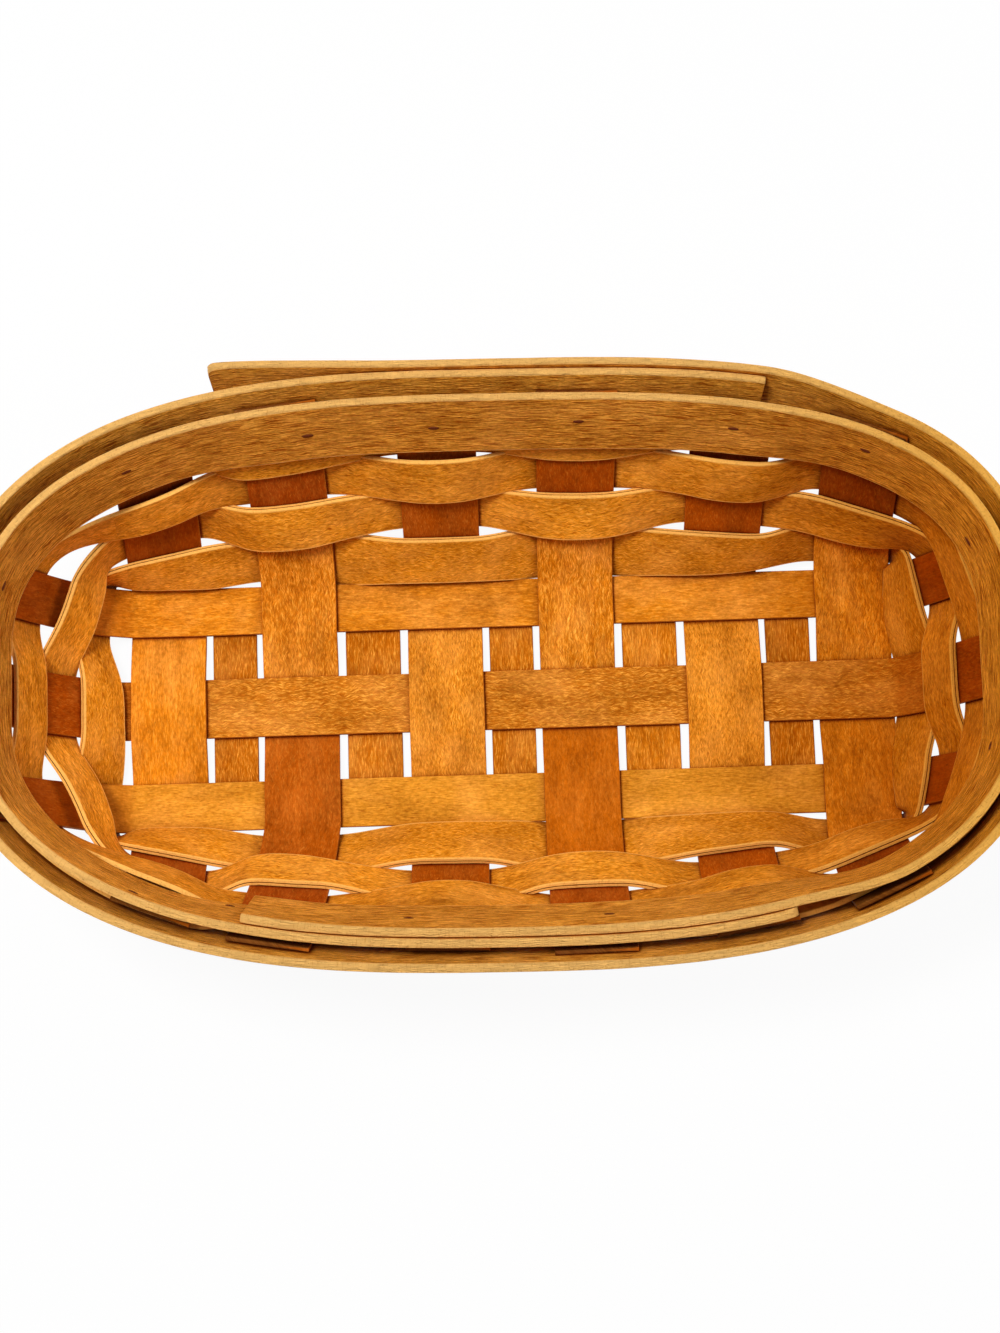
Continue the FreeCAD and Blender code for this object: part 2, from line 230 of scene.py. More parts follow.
# How far a row's lower edge reaches down, in millimetres, at the four frames of an upright: row and place in the ring
LOW_REACH = {
    (0, 0): (-2.6, -1.8, -1.0, 0), (0, 1): (0, 0, 1.4, 3.0), (0, 3): (2.4, 1.2, 1.2, 2.4), (0, 4): (0, 0, -0.6, -2.2),
    (0, 5): (-1.5, 0, 0, 0), (0, 6): (0, 0, 1.5, 2.8), (0, 7): (2.8, 1.0, 1.0, 2.8), (0, 8): (2.8, 1.5, 0, 0),
    (0, 11): (2.6, 1.2, 1.2, 2.6), (0, 14): (0, 0, 0, -1.5), (0, 15): (0, 0, 0.8, 2.3), (0, 16): (0.3, 0, 0, -1.5),
    (0, 17): (-3.0, -1.5, 0, 0), (1, 0): (0, -1.0, -1.5, -1.6), (1, 1): (0, 0, 0, -0.8),
    (1, 2): (-1.9, -1.9, -1.9, -1.9), (1, 3): (-0.6, 0, 0, -0.3), (1, 4): (-1.3, -1.3, -1.3, -1.3),
    (1, 8): (-0.8, 0, 0, 0), (2, 0): (1.6, 0, 0, 0), (2, 5): (0, 0, 0.4, 1.4), (2, 8): (0, 0, 0, 1.0),
    (2, 9): (0, 0, 0, 1.2), (2, 10): (1.2, 0, 0, 0.6), (2, 11): (3.2, 0.8, 0.8, 3.2), (2, 12): (2.6, 2.4, 2.4, 3.2),
    (2, 13): (4.2, 1.4, 0, 0), (2, 17): (0, 0, -1.5, -4.0), (3, 0): (-8.0, -3.0, 0, 0),
    (3, 1): (3.5, 3.5, 3.5, 2.5), (3, 3): (1.5, 2.8, 2.8, 1.5), (3, 17): (0, 0, -3.0, -8.0)}

# How far a row's upper edge stays down, in millimetres, at the same frames
HIGH_DROP = {
    (0, 8): (1.0, 0, 0, 0), (1, 1): (-0.8, 0, 0, -0.8), (1, 3): (-0.8, 0, 0, -0.8), (1, 11): (1.6, 2.0, 2.0, 1.6),
    (1, 13): (4.4, 3.2, 1.8, 1.0), (2, 0): (3.2, 0.8, 0, 0), (2, 2): (-0.8, -1.5, -1.5, -0.8),
    (2, 4): (-0.8, -1.9, -1.9, -0.8), (2, 14): (0.8, -1.8, -1.8, 0.4), (2, 17): (0, 0, 0, 2.0)}

# How far a row is drawn in towards the middle of the basket, in millimetres along it and across it, and at the corner
DRAWN_IN = {(1, 14): ((0, 0), (0, 0), (0, 0), (0, 0), (4.0, 0.3)),
            (1, 15): ((4.6, 0), (4.8, 0), (4.2, 0), (3.2, 0)),
            (1, 17): ((2.6, 0), (3.4, 0), (4.0, 0), (4.0, 0), (3.2, 0.2)),
            (2, 14): ((0, 0), (0, 0), (0, 0.3), (0.6, 2.0), (4.0, 1.4))}

# Share of its slope that a weaver keeps round each corner: back left, back right, front right, front left
CORNER_SLOPE = {17: 0.35, 5: 0.6, 8: 0.6, 14: 0.55}

# How far a row's lower edge is lifted and its upper edge lowered at a corner, in millimetres: row and upright before
CORNER_LIFT = {(3, 17): 10.0, (2, 17): 3.0, (2, 5): -1.5, (2, 8): -1.0, (1, 5): -1.0, (1, 8): -1.2,
               (0, 17): 3.2, (0, 14): 2.5, (0, 8): 3.5, (0, 5): 3.5}
CORNER_DROP = {(2, 17): 2.5}

# How far the top of an upright leans to the right, by crosswise splint and side of the basket
RIM_SHIFT = {(1, -1): -4.5 * MM}

# Lowest edge of a row, and play in a band's lap
LOWEST = 0.7 * MM
LAP_PLAY = 0.15 * MM

# How far the left end is drawn out at the rim, the power with which that grows, and how far at the foot
LEFT_STRETCH = 3.4 * MM
LEFT_POWER = 8
LEFT_FOOT = 2.4 * MM

# Places of an upright's frames, in shares of the wall's height
WALL_SHARES = (0.14, 0.24, 0.35, 0.47, 0.58, 0.66, 0.74, 0.86)

# Frames near a strip's end, in shares of the radius of its edges: the first step in, and the least way to the others
FIRST_STEP = 0.3
CLEAR_WAY = 1.5

# Steps down a rounded corner, in shares of its radius that are left
ROUND_STEPS = (1.0, 0.7, 0.45, 0.25, 0.1, 0.0)


def blend(start, end, part):
    return start * (1 - part) + end * part


def smooth_step(part):
    part = min(1.0, max(0.0, part))
    return part * part * (3 - 2 * part)


class Wall:
    """The flared wall: its rim oval, its uprights and the layers of the base."""

    def __init__(self, scene):
        self.splint = scene.basket_splints
        self.size = scene.basket_wall
        self.weaver = scene.basket_weavers
        self.rim = scene.basket_rim
        self.colours = scene.basket_colours
        splint = self.splint
        step = splint.thickness + splint.play
        self.layers = [splint.thickness / 2 + step * layer for layer in range(3)]
        self.lengthwise_y = splint.middle_width / 2 + splint.gap + splint.outer_width / 2
        self.half_depth = self.lengthwise_y + splint.outer_width / 2
        inner = splint.narrow_pitch / 2
        offsets = (inner, inner + splint.wide_pitch, inner + splint.wide_pitch + splint.narrow_pitch)
        self.crosswise_x = [splint.base_shift - off for off in reversed(offsets)]
        self.crosswise_x += [splint.base_shift + off for off in offsets]
        self.half_length = offsets[-1] + splint.wide_width / 2
        gap = splint.thickness + self.weaver.single_thickness + self.weaver.play + self.rim.play * 2
        self.band_offset = gap / 2 + self.rim.thickness / 2
        last = len(self.crosswise_x) - 1
        self.back = [self.crosswise_upright(index, 1) for index in range(last + 1)]
        self.front = [self.crosswise_upright(index, -1) for index in range(last + 1)]
        self.right = [self.lengthwise_upright(index, 1) for index in range(3)]
        self.left = [self.lengthwise_upright(index, -1) for index in range(3)]
        self.ring = self.back + self.right + self.front[::-1] + self.left[::-1]
        self.slants = self.measure(self.back[last // 2])
        self.slant = self.slants[-1]
        self.row_pitch = (self.slant - self.weaver.first_rise - self.weaver.last_drop) / self.weaver.rows
        self.leans = sorted((turn_of(leg.rim), leg.lean(self)) for leg in self.ring)

    def oval(self, x, y):
        """Depth and roundness of the quarter of the oval that lies towards x and y."""
        side, end = "back" if y >= 0 else "front", "r" if x >= 0 else "l"
        return getattr(self.size, "rim_" + side), getattr(self.size, "roundness_" + side[0] + end)

    def stretched(self, x):
        """Place along the basket after the left end is drawn out."""
        return x - LEFT_STRETCH * (x / self.size.rim_half_length) ** LEFT_POWER if x < 0 else x

    def rim_point(self, angle):
        """Point of the rim oval in plan at a polar angle."""
        depth, power = self.oval(math.cos(angle), math.sin(angle))
        reach_x = abs(math.cos(angle)) / self.size.rim_half_length
        reach_y = abs(math.sin(angle)) / depth
        radius = (reach_x ** power + reach_y ** power) ** (-1 / power)
        return Vector((self.stretched(radius * math.cos(angle)),
                       radius * (math.sin(angle) + self.size.skew * math.cos(angle)), 0))

    def rim_outward(self, point):
        """Unit vector square to the rim oval in plan, pointing out of the basket."""
        y = point.y - self.size.skew * point.x
        depth, power = self.oval(point.x, y)
        long = self.size.rim_half_length
        pull_x = math.copysign(min(abs(point.x) / long, 1.0) ** (power - 1) / long, point.x)
        pull_y = math.copysign((abs(y) / depth) ** (power - 1) / depth, y)
        return Vector((pull_x - self.size.skew * pull_y, pull_y, 0)).normalized()

    def rim_y(self, x, side):
        depth, power = self.oval(x, side)
        straight = depth * (1 - (abs(x) / self.size.rim_half_length) ** power) ** (1 / power)
        return math.copysign(straight, side) + self.size.skew * x

    def rim_x(self, y, side):
        y -= self.size.skew * side * self.size.rim_half_length
        depth, power = self.oval(side, y)
        return self.stretched(side * self.size.rim_half_length * (1 - (abs(y) / depth) ** power) ** (1 / power))

    def row_thickness(self, row):
        return self.weaver.double_thickness if row < DOUBLE_ROWS else self.weaver.single_thickness

    def row_lift(self, row):
        return (self.splint.thickness + self.row_thickness(row)) / 2 + self.weaver.play

    def slack(self, row):
        """How far the lower and upper edge of a row bow inward where it passes inside an upright."""
        return [getattr(self.weaver, "slack_%s_%d" % (edge, row + 1), 0.0) for edge in ("low", "high")]

    def crosswise_upright(self, index, side):
        foot_x = self.crosswise_x[index]
        gather = self.size.corner_gather if index in (0, len(self.crosswise_x) - 1) else 0
        rim_x = foot_x - math.copysign(gather, foot_x) + RIM_SHIFT.get((index, side), 0.0)
        return Upright(self, Vector((foot_x, side * self.half_depth, 0)), Vector((0, side, 0)),
                       Vector((rim_x, self.rim_y(rim_x, side), 0)), self.splint.wide_width,
                       "back" if side > 0 else "front", index % 2 == 0)

    def lengthwise_upright(self, index, side):
        foot_y = self.lengthwise_place(index)
        foot = Vector((self.splint.base_shift + side * self.half_length - (LEFT_FOOT if side < 0 else 0), foot_y, 0))
        return Upright(self, foot, Vector((side, 0, 0)), Vector((self.rim_x(foot_y, side), foot_y, 0)),
                       self.lengthwise_width(index), "right" if side > 0 else "left", (index != 1) == (side > 0))

    def lengthwise_place(self, index):
        return (self.lengthwise_y, 0, -self.lengthwise_y)[index]

    def lengthwise_width(self, index):
        return self.splint.middle_width if index == 1 else self.splint.outer_width

    def measure(self, leg, steps=400):
        """Length travelled up the wall at even shares of an upright."""
        travelled = [0.0]
        for step in range(steps):
            stretch = leg.wall_point((step + 1) / steps) - leg.wall_point(step / steps)
            travelled.append(travelled[-1] + stretch.length)
        return travelled

    def share_at_slant(self, slant):
        """Share of the wall's height that lies the given distance up the long side."""
        steps = len(self.slants) - 1
        for step in range(steps):
            if self.slants[step + 1] >= slant:
                part = (slant - self.slants[step]) / (self.slants[step + 1] - self.slants[step])
                return (step + part) / steps
        return 1.0

    def lean_at(self, angle):
        """Lean of the wall at a polar angle, eased from one upright to the next."""
        turn = angle % (2 * math.pi)
        first, final = self.leans[0], self.leans[-1]
        before = (final[0] - 2 * math.pi, final[1])
        for after in self.leans + [(first[0] + 2 * math.pi, first[1])]:
            if turn <= after[0]:
                return blend(before[1], after[1], smooth_step((turn - before[0]) / (after[0] - before[0])))
            before = after
        return before[1]

    def band_frame(self, angle, offset):
        """Top point of a band at a polar angle, its direction up the wall and outward."""
        plan = self.rim_point(angle)
        outward = self.rim_outward(plan)
        rise = (outward * self.lean_at(angle) + UP).normalized()
        normal = (outward - rise * outward.dot(rise)).normalized()
        top = plan + UP * self.size.height + outward * (offset / normal.dot(outward))
        return top, rise, normal

    def angle_at(self, x, side):
        """Polar angle of the rim oval where it crosses the given x on one long side."""
        return math.atan2(self.rim_y(x, side) - self.size.skew * x, x)

    def arc_between(self, x, side, angle):
        """Rough distance along the rim from where it crosses x to the given angle."""
        return (self.rim_point(angle) - self.rim_point(self.angle_at(x, side))).length


class Upright:
    """One leg of a splint, from the edge of the base up the wall to the rim."""

    def __init__(self, wall, foot, away, rim, width, side_name, outside_first):
        self.wall = wall
        self.foot = foot
        self.away = away
        self.rim = rim
        self.width = width
        self.knee_share = getattr(wall.size, side_name + "_knee")
        self.knee_height = getattr(wall.size, side_name + "_knee_height")
        self.outside_first = outside_first
        self.rim_out = wall.rim_outward(rim)
        self.rim_across = Vector((self.rim_out.y, -self.rim_out.x, 0))
        self.foot_across = Vector((away.y, -away.x, 0))

    def wall_point(self, part):
        """Point of the smooth wall, a curve from the foot past a knee to the rim."""
        spread = self.rim - self.foot
        reach = self.away.dot(spread)
        sideways = spread - self.away * reach
        knee = self.foot + (self.away * reach + sideways) * self.knee_share
        knee.z = self.knee_height
        top = Vector((self.rim.x, self.rim.y, self.wall.size.height))
        bottom = Vector((self.foot.x, self.foot.y, self.wall.layers[1]))
        return bottom * (1 - part) ** 2 + knee * (2 * part * (1 - part)) + top * part ** 2

    def point(self, part):
        """Middle of the splint's thickness at a share of the wall's height."""
        weaver = self.wall.weaver
        side = 1 if self.row_inside(weaver.rows - 1) else -1
        tuck = side * (weaver.single_thickness + weaver.play) / 2
        return self.wall_point(part) + self.rim_out * (tuck * smooth_step((part - TUCK_START)
                                                                          / (TUCK_END - TUCK_START)))

    def row_inside(self, row):
        return self.outside_first == (row % 2 == 0)

    def lean(self, wall):
        """How far the wall leans out behind the bands, for each unit of height."""
        chord = self.wall_point(1) - self.wall_point(wall.share_at_slant(wall.slant - wall.rim.width))
        return chord.dot(self.rim_out) / chord.z

    def bow(self, low, high):
        """How far the curved wall stands out from the chord between two of its points."""
        middle = (low + high) / 2
        chord_middle = (self.point(low) + self.point(high)) / 2
        return abs((self.point(middle) - chord_middle).dot(self.outward(middle)))

    def rise(self, part):
        step = 0.001
        return (self.point(part + step) - self.point(part - step)).normalized()

    def across(self, part):
        part = min(1.0, max(0.0, part))
        return blend(self.foot_across, self.rim_across, 1 - (1 - part) ** 3).normalized()

    def outward(self, part):
        return self.rise(part).cross(self.across(part)).normalized()


def turn_of(point):
    return math.atan2(point.y, point.x) % (2 * math.pi)


def turns(leg, after):
    """True where the wall goes round a corner between two uprights."""
    return abs(leg.away.dot(after.away)) < 0.5


def eased(poles, closed, per_span=PER_SPAN):
    """Frames along a smooth line drawn by poles; each pole is a tuple of vectors."""
    if closed:
        padded = poles[-1:] + poles + poles[:2]
    else:
        padded = poles[:1] * 2 + poles + poles[-1:] * 2
    frames = []
    for start in range(len(padded) - 3):
        for step in range(per_span):
            part = step / per_span
            weights = ((1 - part) ** 3 / 6, (3 * part ** 3 - 6 * part ** 2 + 4) / 6,
                       (-3 * part ** 3 + 3 * part ** 2 + 3 * part + 1) / 6, part ** 3 / 6)
            window = padded[start:start + 4]
            frames.append(tuple(sum((pole[item] * weight for pole, weight in zip(window, weights)), Vector())
                                for item in range(3)))
    if not closed:
        frames.append(poles[-1])
    return frames


def with_ends(frames, rounding):
    """Frames of an open strip with both ends closed and their edges eased."""
    def end(near, far):
        centre, across, thick = near
        onward = (far[0] - centre).normalized()
        narrow = across * (1 - rounding / across.length)
        thin = thick * (1 - rounding / thick.length)
        step = rounding * FIRST_STEP
        return [(centre, across * 0, thick * 0), (centre, narrow, thin),
                (centre + onward * step, across * (1 - step / across.length), thick * (1 - step / thick.length)),
                (centre + onward * rounding, across, thick)]

    inside = [item for item in frames[1:-1]
              if min((item[0] - last[0]).length for last in (frames[0], frames[-1])) > rounding * CLEAR_WAY]
    return end(frames[0], frames[1]) + inside + end(frames[-1], frames[-2])[::-1]


def upright_frames(leg, across_sign):
    """Frames up one wall, from just above the base to the splint's tip."""
    wall = leg.wall
    tip = wall.share_at_slant(wall.slant - wall.size.tip_drop)
    return [(leg.point(part), leg.across(part) * (across_sign * leg.width / 2),
             leg.outward(part) * (-wall.splint.thickness / 2)) for part in WALL_SHARES + (tip,)]


def edge_reach(under):
    """How far past the base's edge a splint lies flat: farther where it comes from below."""
    return UNDER_REACH if under else -BEND_EASE


def crosswise_frames(wall, index):
    """Wide splint that runs under and over the lengthwise ones and up both long walls."""
    splint = wall.splint
    x = wall.crosswise_x[index]
    low, mid, high = wall.layers
    outer_level, middle_level = (low, high) if index % 2 == 0 else (high, low)
    half_middle = splint.middle_width / 2
    near = wall.lengthwise_y - splint.outer_width / 2
    half_side = ((0, middle_level), (half_middle - FLAT_EASE, middle_level), (half_middle, middle_level),
                 ((half_middle + near) / 2, mid), (near, outer_level), (near + FLAT_EASE, outer_level),
                 (wall.lengthwise_y, outer_level), (wall.half_depth - FLAT_EASE, outer_level),
                 (wall.half_depth + edge_reach(index % 2 == 0), outer_level))
    stations = [(-y, z) for y, z in half_side[:0:-1]] + list(half_side)
    half_width, half_thickness = splint.wide_width / 2, splint.thickness / 2
    base = [(Vector((x, y, z)), Vector((half_width, 0, 0)), UP * half_thickness) for y, z in stations]
    return upright_frames(wall.front[index], -1)[::-1] + base + upright_frames(wall.back[index], 1)


def lengthwise_frames(wall, index):
    """Splint that lies flat in the middle layer of the base and rises at both ends."""
    splint = wall.splint
    y = wall.lengthwise_place(index)
    width = wall.lengthwise_width(index)
    left_leg, right_leg = wall.left[index], wall.right[index]
    stations = (-wall.half_length - edge_reach(left_leg.outside_first), FLAT_EASE - wall.half_length, 0,
                wall.half_length - FLAT_EASE, wall.half_length + edge_reach(right_leg.outside_first))
    base = [(Vector((splint.base_shift + x, y, wall.layers[1])), Vector((0, width / 2, 0)),
             UP * (splint.thickness / 2)) for x in stations]
    return upright_frames(left_leg, 1)[::-1] + base + upright_frames(right_leg, -1)


def filler_frames(wall, index):
    splint = wall.splint
    x = (wall.crosswise_x[index] + wall.crosswise_x[index + 1]) / 2
    width = splint.narrow_filler if index % 2 == 0 else splint.wide_filler
    half = wall.half_depth - splint.filler_inset
    return [(Vector((x, -half + 2 * half * step / FILLER_STEPS, wall.layers[0])), Vector((width / 2, 0, 0)),
             UP * (splint.thickness / 2)) for step in range(FILLER_STEPS + 1)]


def corner_frame(leg, after, low, high, half_thickness, slope):
    """Frame that draws a weaver round a corner, towards where both runs would meet, and steeper than the wall."""
    points = []
    for part in (low, high):
        start, end = leg.point(part), after.point(part)
        start_run, end_run = leg.across(part), after.across(part)
        apart = end - start
        reach = (apart.x * end_run.y - apart.y * end_run.x) / (start_run.x * end_run.y - start_run.y * end_run.x)
        middle = (start + start_run * (leg.width / 2) + end - end_run * (after.width / 2)) / 2
        meeting = start + start_run * reach
        meeting.z = middle.z
        points.append(blend(middle, meeting, leg.wall.weaver.corner_fullness))
    half = (points[1] - points[0]) / 2
    outward = (leg.outward((low + high) / 2) + after.outward((low + high) / 2)).normalized()
    steep = Vector((half.x * slope, half.y * slope, half.z))
    outward = (outward - steep * (outward.dot(steep) / steep.length_squared)).normalized()
    return (points[0] + points[1]) / 2, steep, outward * half_thickness


def weaver_frames(wall, row):
    """Closed ring that passes inside and outside the uprights by turns."""
    size = wall.weaver
    start = size.first_rise + row * wall.row_pitch
    top = start + wall.row_pitch - size.gap
    low, high = wall.share_at_slant(start), wall.share_at_slant(top)
    half_thickness = wall.row_thickness(row) / 2
    frames = []
    for place, leg in enumerate(wall.ring):
        before, after = wall.ring[place - 1], wall.ring[(place + 1) % len(wall.ring)]
        inside = leg.row_inside(row)
        lift = -wall.row_lift(row) if inside else wall.row_lift(row) + leg.bow(low, high)
        first = CORNER_REACH if turns(before, leg) else FLAT_REACH
        final = CORNER_REACH if turns(leg, after) else FLAT_REACH
        reaches, drops = [table.get((row, place), (0.0,) * 4) for table in (LOW_REACH, HIGH_DROP)]
        drawn = [Vector((*shift, 0)) * MM for shift in DRAWN_IN.get((row, place), ((0, 0),) * 5)]
        for along, reach, drop, shift in zip((-first, -FLAT_MIDDLE, FLAT_MIDDLE, final), reaches, drops, drawn):
            slacks = wall.slack(row) if leg.away.y else (size.slack_end,) * 2
            bow = [slack if inside and abs(along) == FLAT_MIDDLE else 0.0 for slack in slacks]
            parts = (wall.share_at_slant(start - reach * MM), wall.share_at_slant(top - drop * MM))
            ends = [leg.point(part) + leg.across(part) * (along * leg.width) + leg.outward(part) * (lift - off)
                    + shift for part, off in zip(parts, bow)]
            ends[0].z = max(ends[0].z, LOWEST)
            outward = (leg.outward(low) + leg.outward(high)).normalized()
            frames.append(((ends[0] + ends[1]) / 2, (ends[1] - ends[0]) / 2, outward * half_thickness))
        if turns(leg, after):
            lifted = wall.share_at_slant(start + CORNER_LIFT.get((row, place), 0.0) * MM)
            lowered = wall.share_at_slant(top - CORNER_DROP.get((row, place), 0.0) * MM)
            centre, half, out = corner_frame(leg, after, lifted, lowered, half_thickness, CORNER_SLOPE[place])
            frames.append((centre + drawn[-1], half, out))
    return frames


def hoop_frames(wall, start, end, offset_at):
    """Frames of an open band along the rim; offset_at gives its place out from the oval."""
    size = wall.rim
    frames = []
    for step in range(HOOP_STEPS + 1):
        angle = start + (end - start) * step / HOOP_STEPS
        top, rise, normal = wall.band_frame(angle, offset_at(wall, angle))
        frames.append((top - rise * (size.width / 2), rise * (size.width / 2), normal * (size.thickness / 2)))
    return with_rounded_corner(frames, size.corner_radius)


def outer_span(wall):
    """Polar angles at which the outer band starts and ends."""
    size = wall.rim
    return wall.angle_at(size.outer_lap_right, 1), wall.angle_at(size.outer_lap_left, 1) + 2 * math.pi


def outer_offset(wall, angle):
    """Place of the outer band out from the oval, with its lap and its free end."""
    size = wall.rim
    start = outer_span(wall)[0]
    depth = wall.oval(math.cos(angle), math.sin(angle))[0]
    oval_turn = math.atan2(math.sin(angle) / depth, math.cos(angle) / wall.size.rim_half_length)
    offset = wall.band_offset + size.corner_slack * math.sin(2 * oval_turn) ** 2
    if angle < start + math.pi:
        return offset
    before = wall.arc_between(size.outer_lap_right, 1, angle)
    stepped = 1.0 if angle >= start + 2 * math.pi else 1 - smooth_step(before / size.lap_step)
    left = max(0.0, 1 - wall.arc_between(size.outer_lap_left, 1, angle) / size.free_length)
    return offset + (size.thickness + LAP_PLAY) * stepped + size.free_end_lift * left ** 2


def inner_span(wall):
    """Polar angles at which the inner band starts and ends."""
    size = wall.rim
    return wall.angle_at(size.inner_lap_left, -1), wall.angle_at(size.inner_lap_right, -1) + 2 * math.pi


def inner_offset(wall, angle):
    """Place of the inner band out from the oval, with its lap."""
    size = wall.rim
    start, end = inner_span(wall)
    if angle > start + math.pi:
        return -wall.band_offset
    past = wall.arc_between(size.inner_lap_right, -1, angle)
    stepped = 1.0 if angle < end - 2 * math.pi else 1 - smooth_step(past / size.lap_step)
    return -wall.band_offset - (size.thickness + LAP_PLAY) * stepped


def with_rounded_corner(frames, radius):
    """Frames whose last end has its top corner rounded off."""
    last, before = frames[-1][0], frames[-2][0]
    back = (before - last).normalized()
    kept = [item for item in frames if (item[0] - last).length > radius]
    centre, across, thick = frames[-1]
    for share_left in ROUND_STEPS:
        drop = radius * (1 - math.sqrt(1 - (1 - share_left) ** 2))
        cut = across.normalized() * (drop / 2)
        kept.append((centre + back * (radius * share_left) - cut, across - cut, thick))
    return kept


# Node trees

class Field:
    """Output of a node, which is added, multiplied and so on like a number."""

    def __init__(self, socket):
        self.socket = socket

    def maths(self, operation, other=0.0, swapped=False):
        pair = (other, self) if swapped else (self, other)
        return field(self.socket.id_data, "ShaderNodeMath", dict(enumerate(pair)), operation=operation)

    def vector(self, operation, other=(0, 0, 0)):
        return field(self.socket.id_data, "ShaderNodeVectorMath",
                     {0: self, "Scale" if operation == "SCALE" else 1: other},
                     "Value" if operation == "LENGTH" else 0, operation=operation)


for sign, task in {"add": "ADD", "sub": "SUBTRACT", "mul": "MULTIPLY", "truediv": "DIVIDE", "mod": "MODULO"}.items():
    setattr(Field, "__%s__" % sign, partialmethod(Field.maths, task))
    setattr(Field, "__r%s__" % sign, partialmethod(Field.maths, task, swapped=True))


def pick(sockets, key):
    """Socket by its place or its name, or by its identifier where the name repeats."""
    if isinstance(key, int) or key in sockets:
        return sockets[key]
    return next(entry for entry in sockets if entry.identifier == key)


def put(tree, kind, sockets=None, **settings):
    """Adds a node, sets its properties and fills its inputs with values or links."""
    node = tree.nodes.new(kind)
    for name, value in settings.items():
        setattr(node, name, value)
    for key, value in (sockets or {}).items():
        socket = pick(node.inputs, key)
        if isinstance(value, Field):
            tree.links.new(value.socket, socket)
        else:
            socket.default_value = value
    return node


def field(tree, kind, sockets=None, output=0, **settings):
    """Adds a node and gives one of its outputs."""
    return Field(pick(put(tree, kind, sockets, **settings).outputs, output))


def combine(tree, *parts):
    return field(tree, "ShaderNodeCombineXYZ", dict(enumerate(parts)))


def split(vector):
    return [Field(part) for part in put(vector.socket.id_data, "ShaderNodeSeparateXYZ", {0: vector}).outputs]


def mixed(tree, factor, first, second, mode="MIX"):
    """Colour mixed from two colours."""
    return field(tree, "ShaderNodeMix", {"Factor_Float": factor, "A_Color": first, "B_Color": second},
                 "Result_Color", data_type="RGBA", blend_type=mode)


# Shift of the noise between a strip's two edges, and distance within which points are joined
SIDE_SHIFT = 17.3
WELD = 0.002 * MM

# Sharpest turn that a surface takes smoothly
SHARP_ANGLE = math.radians(50)

SOCKET_KINDS = {float: "Float", int: "Int", tuple: "Color"}


def node_tree(title, tree_kind, inputs, outputs):
    """Turns a function that fills a tree into one that gives the tree, built at its first call."""
    def decorate(fill):
        def ready():
            if title in bpy.data.node_groups:
                return bpy.data.node_groups[title]
            tree = bpy.data.node_groups.new(title, tree_kind)
            for way, sockets in (("INPUT", inputs), ("OUTPUT", outputs)):
                for label, value in sockets.items():
                    kind = value if isinstance(value, str) else SOCKET_KINDS[type(value)]
                    socket = tree.interface.new_socket(label, in_out=way, socket_type="NodeSocket" + kind)
                    if kind != value:
                        socket.default_value = value
            given = tree.nodes.new("NodeGroupInput").outputs
            put(tree, "NodeGroupOutput", fill(tree, {label: Field(given[label]) for label in inputs}))
            return tree
        return ready
    return decorate


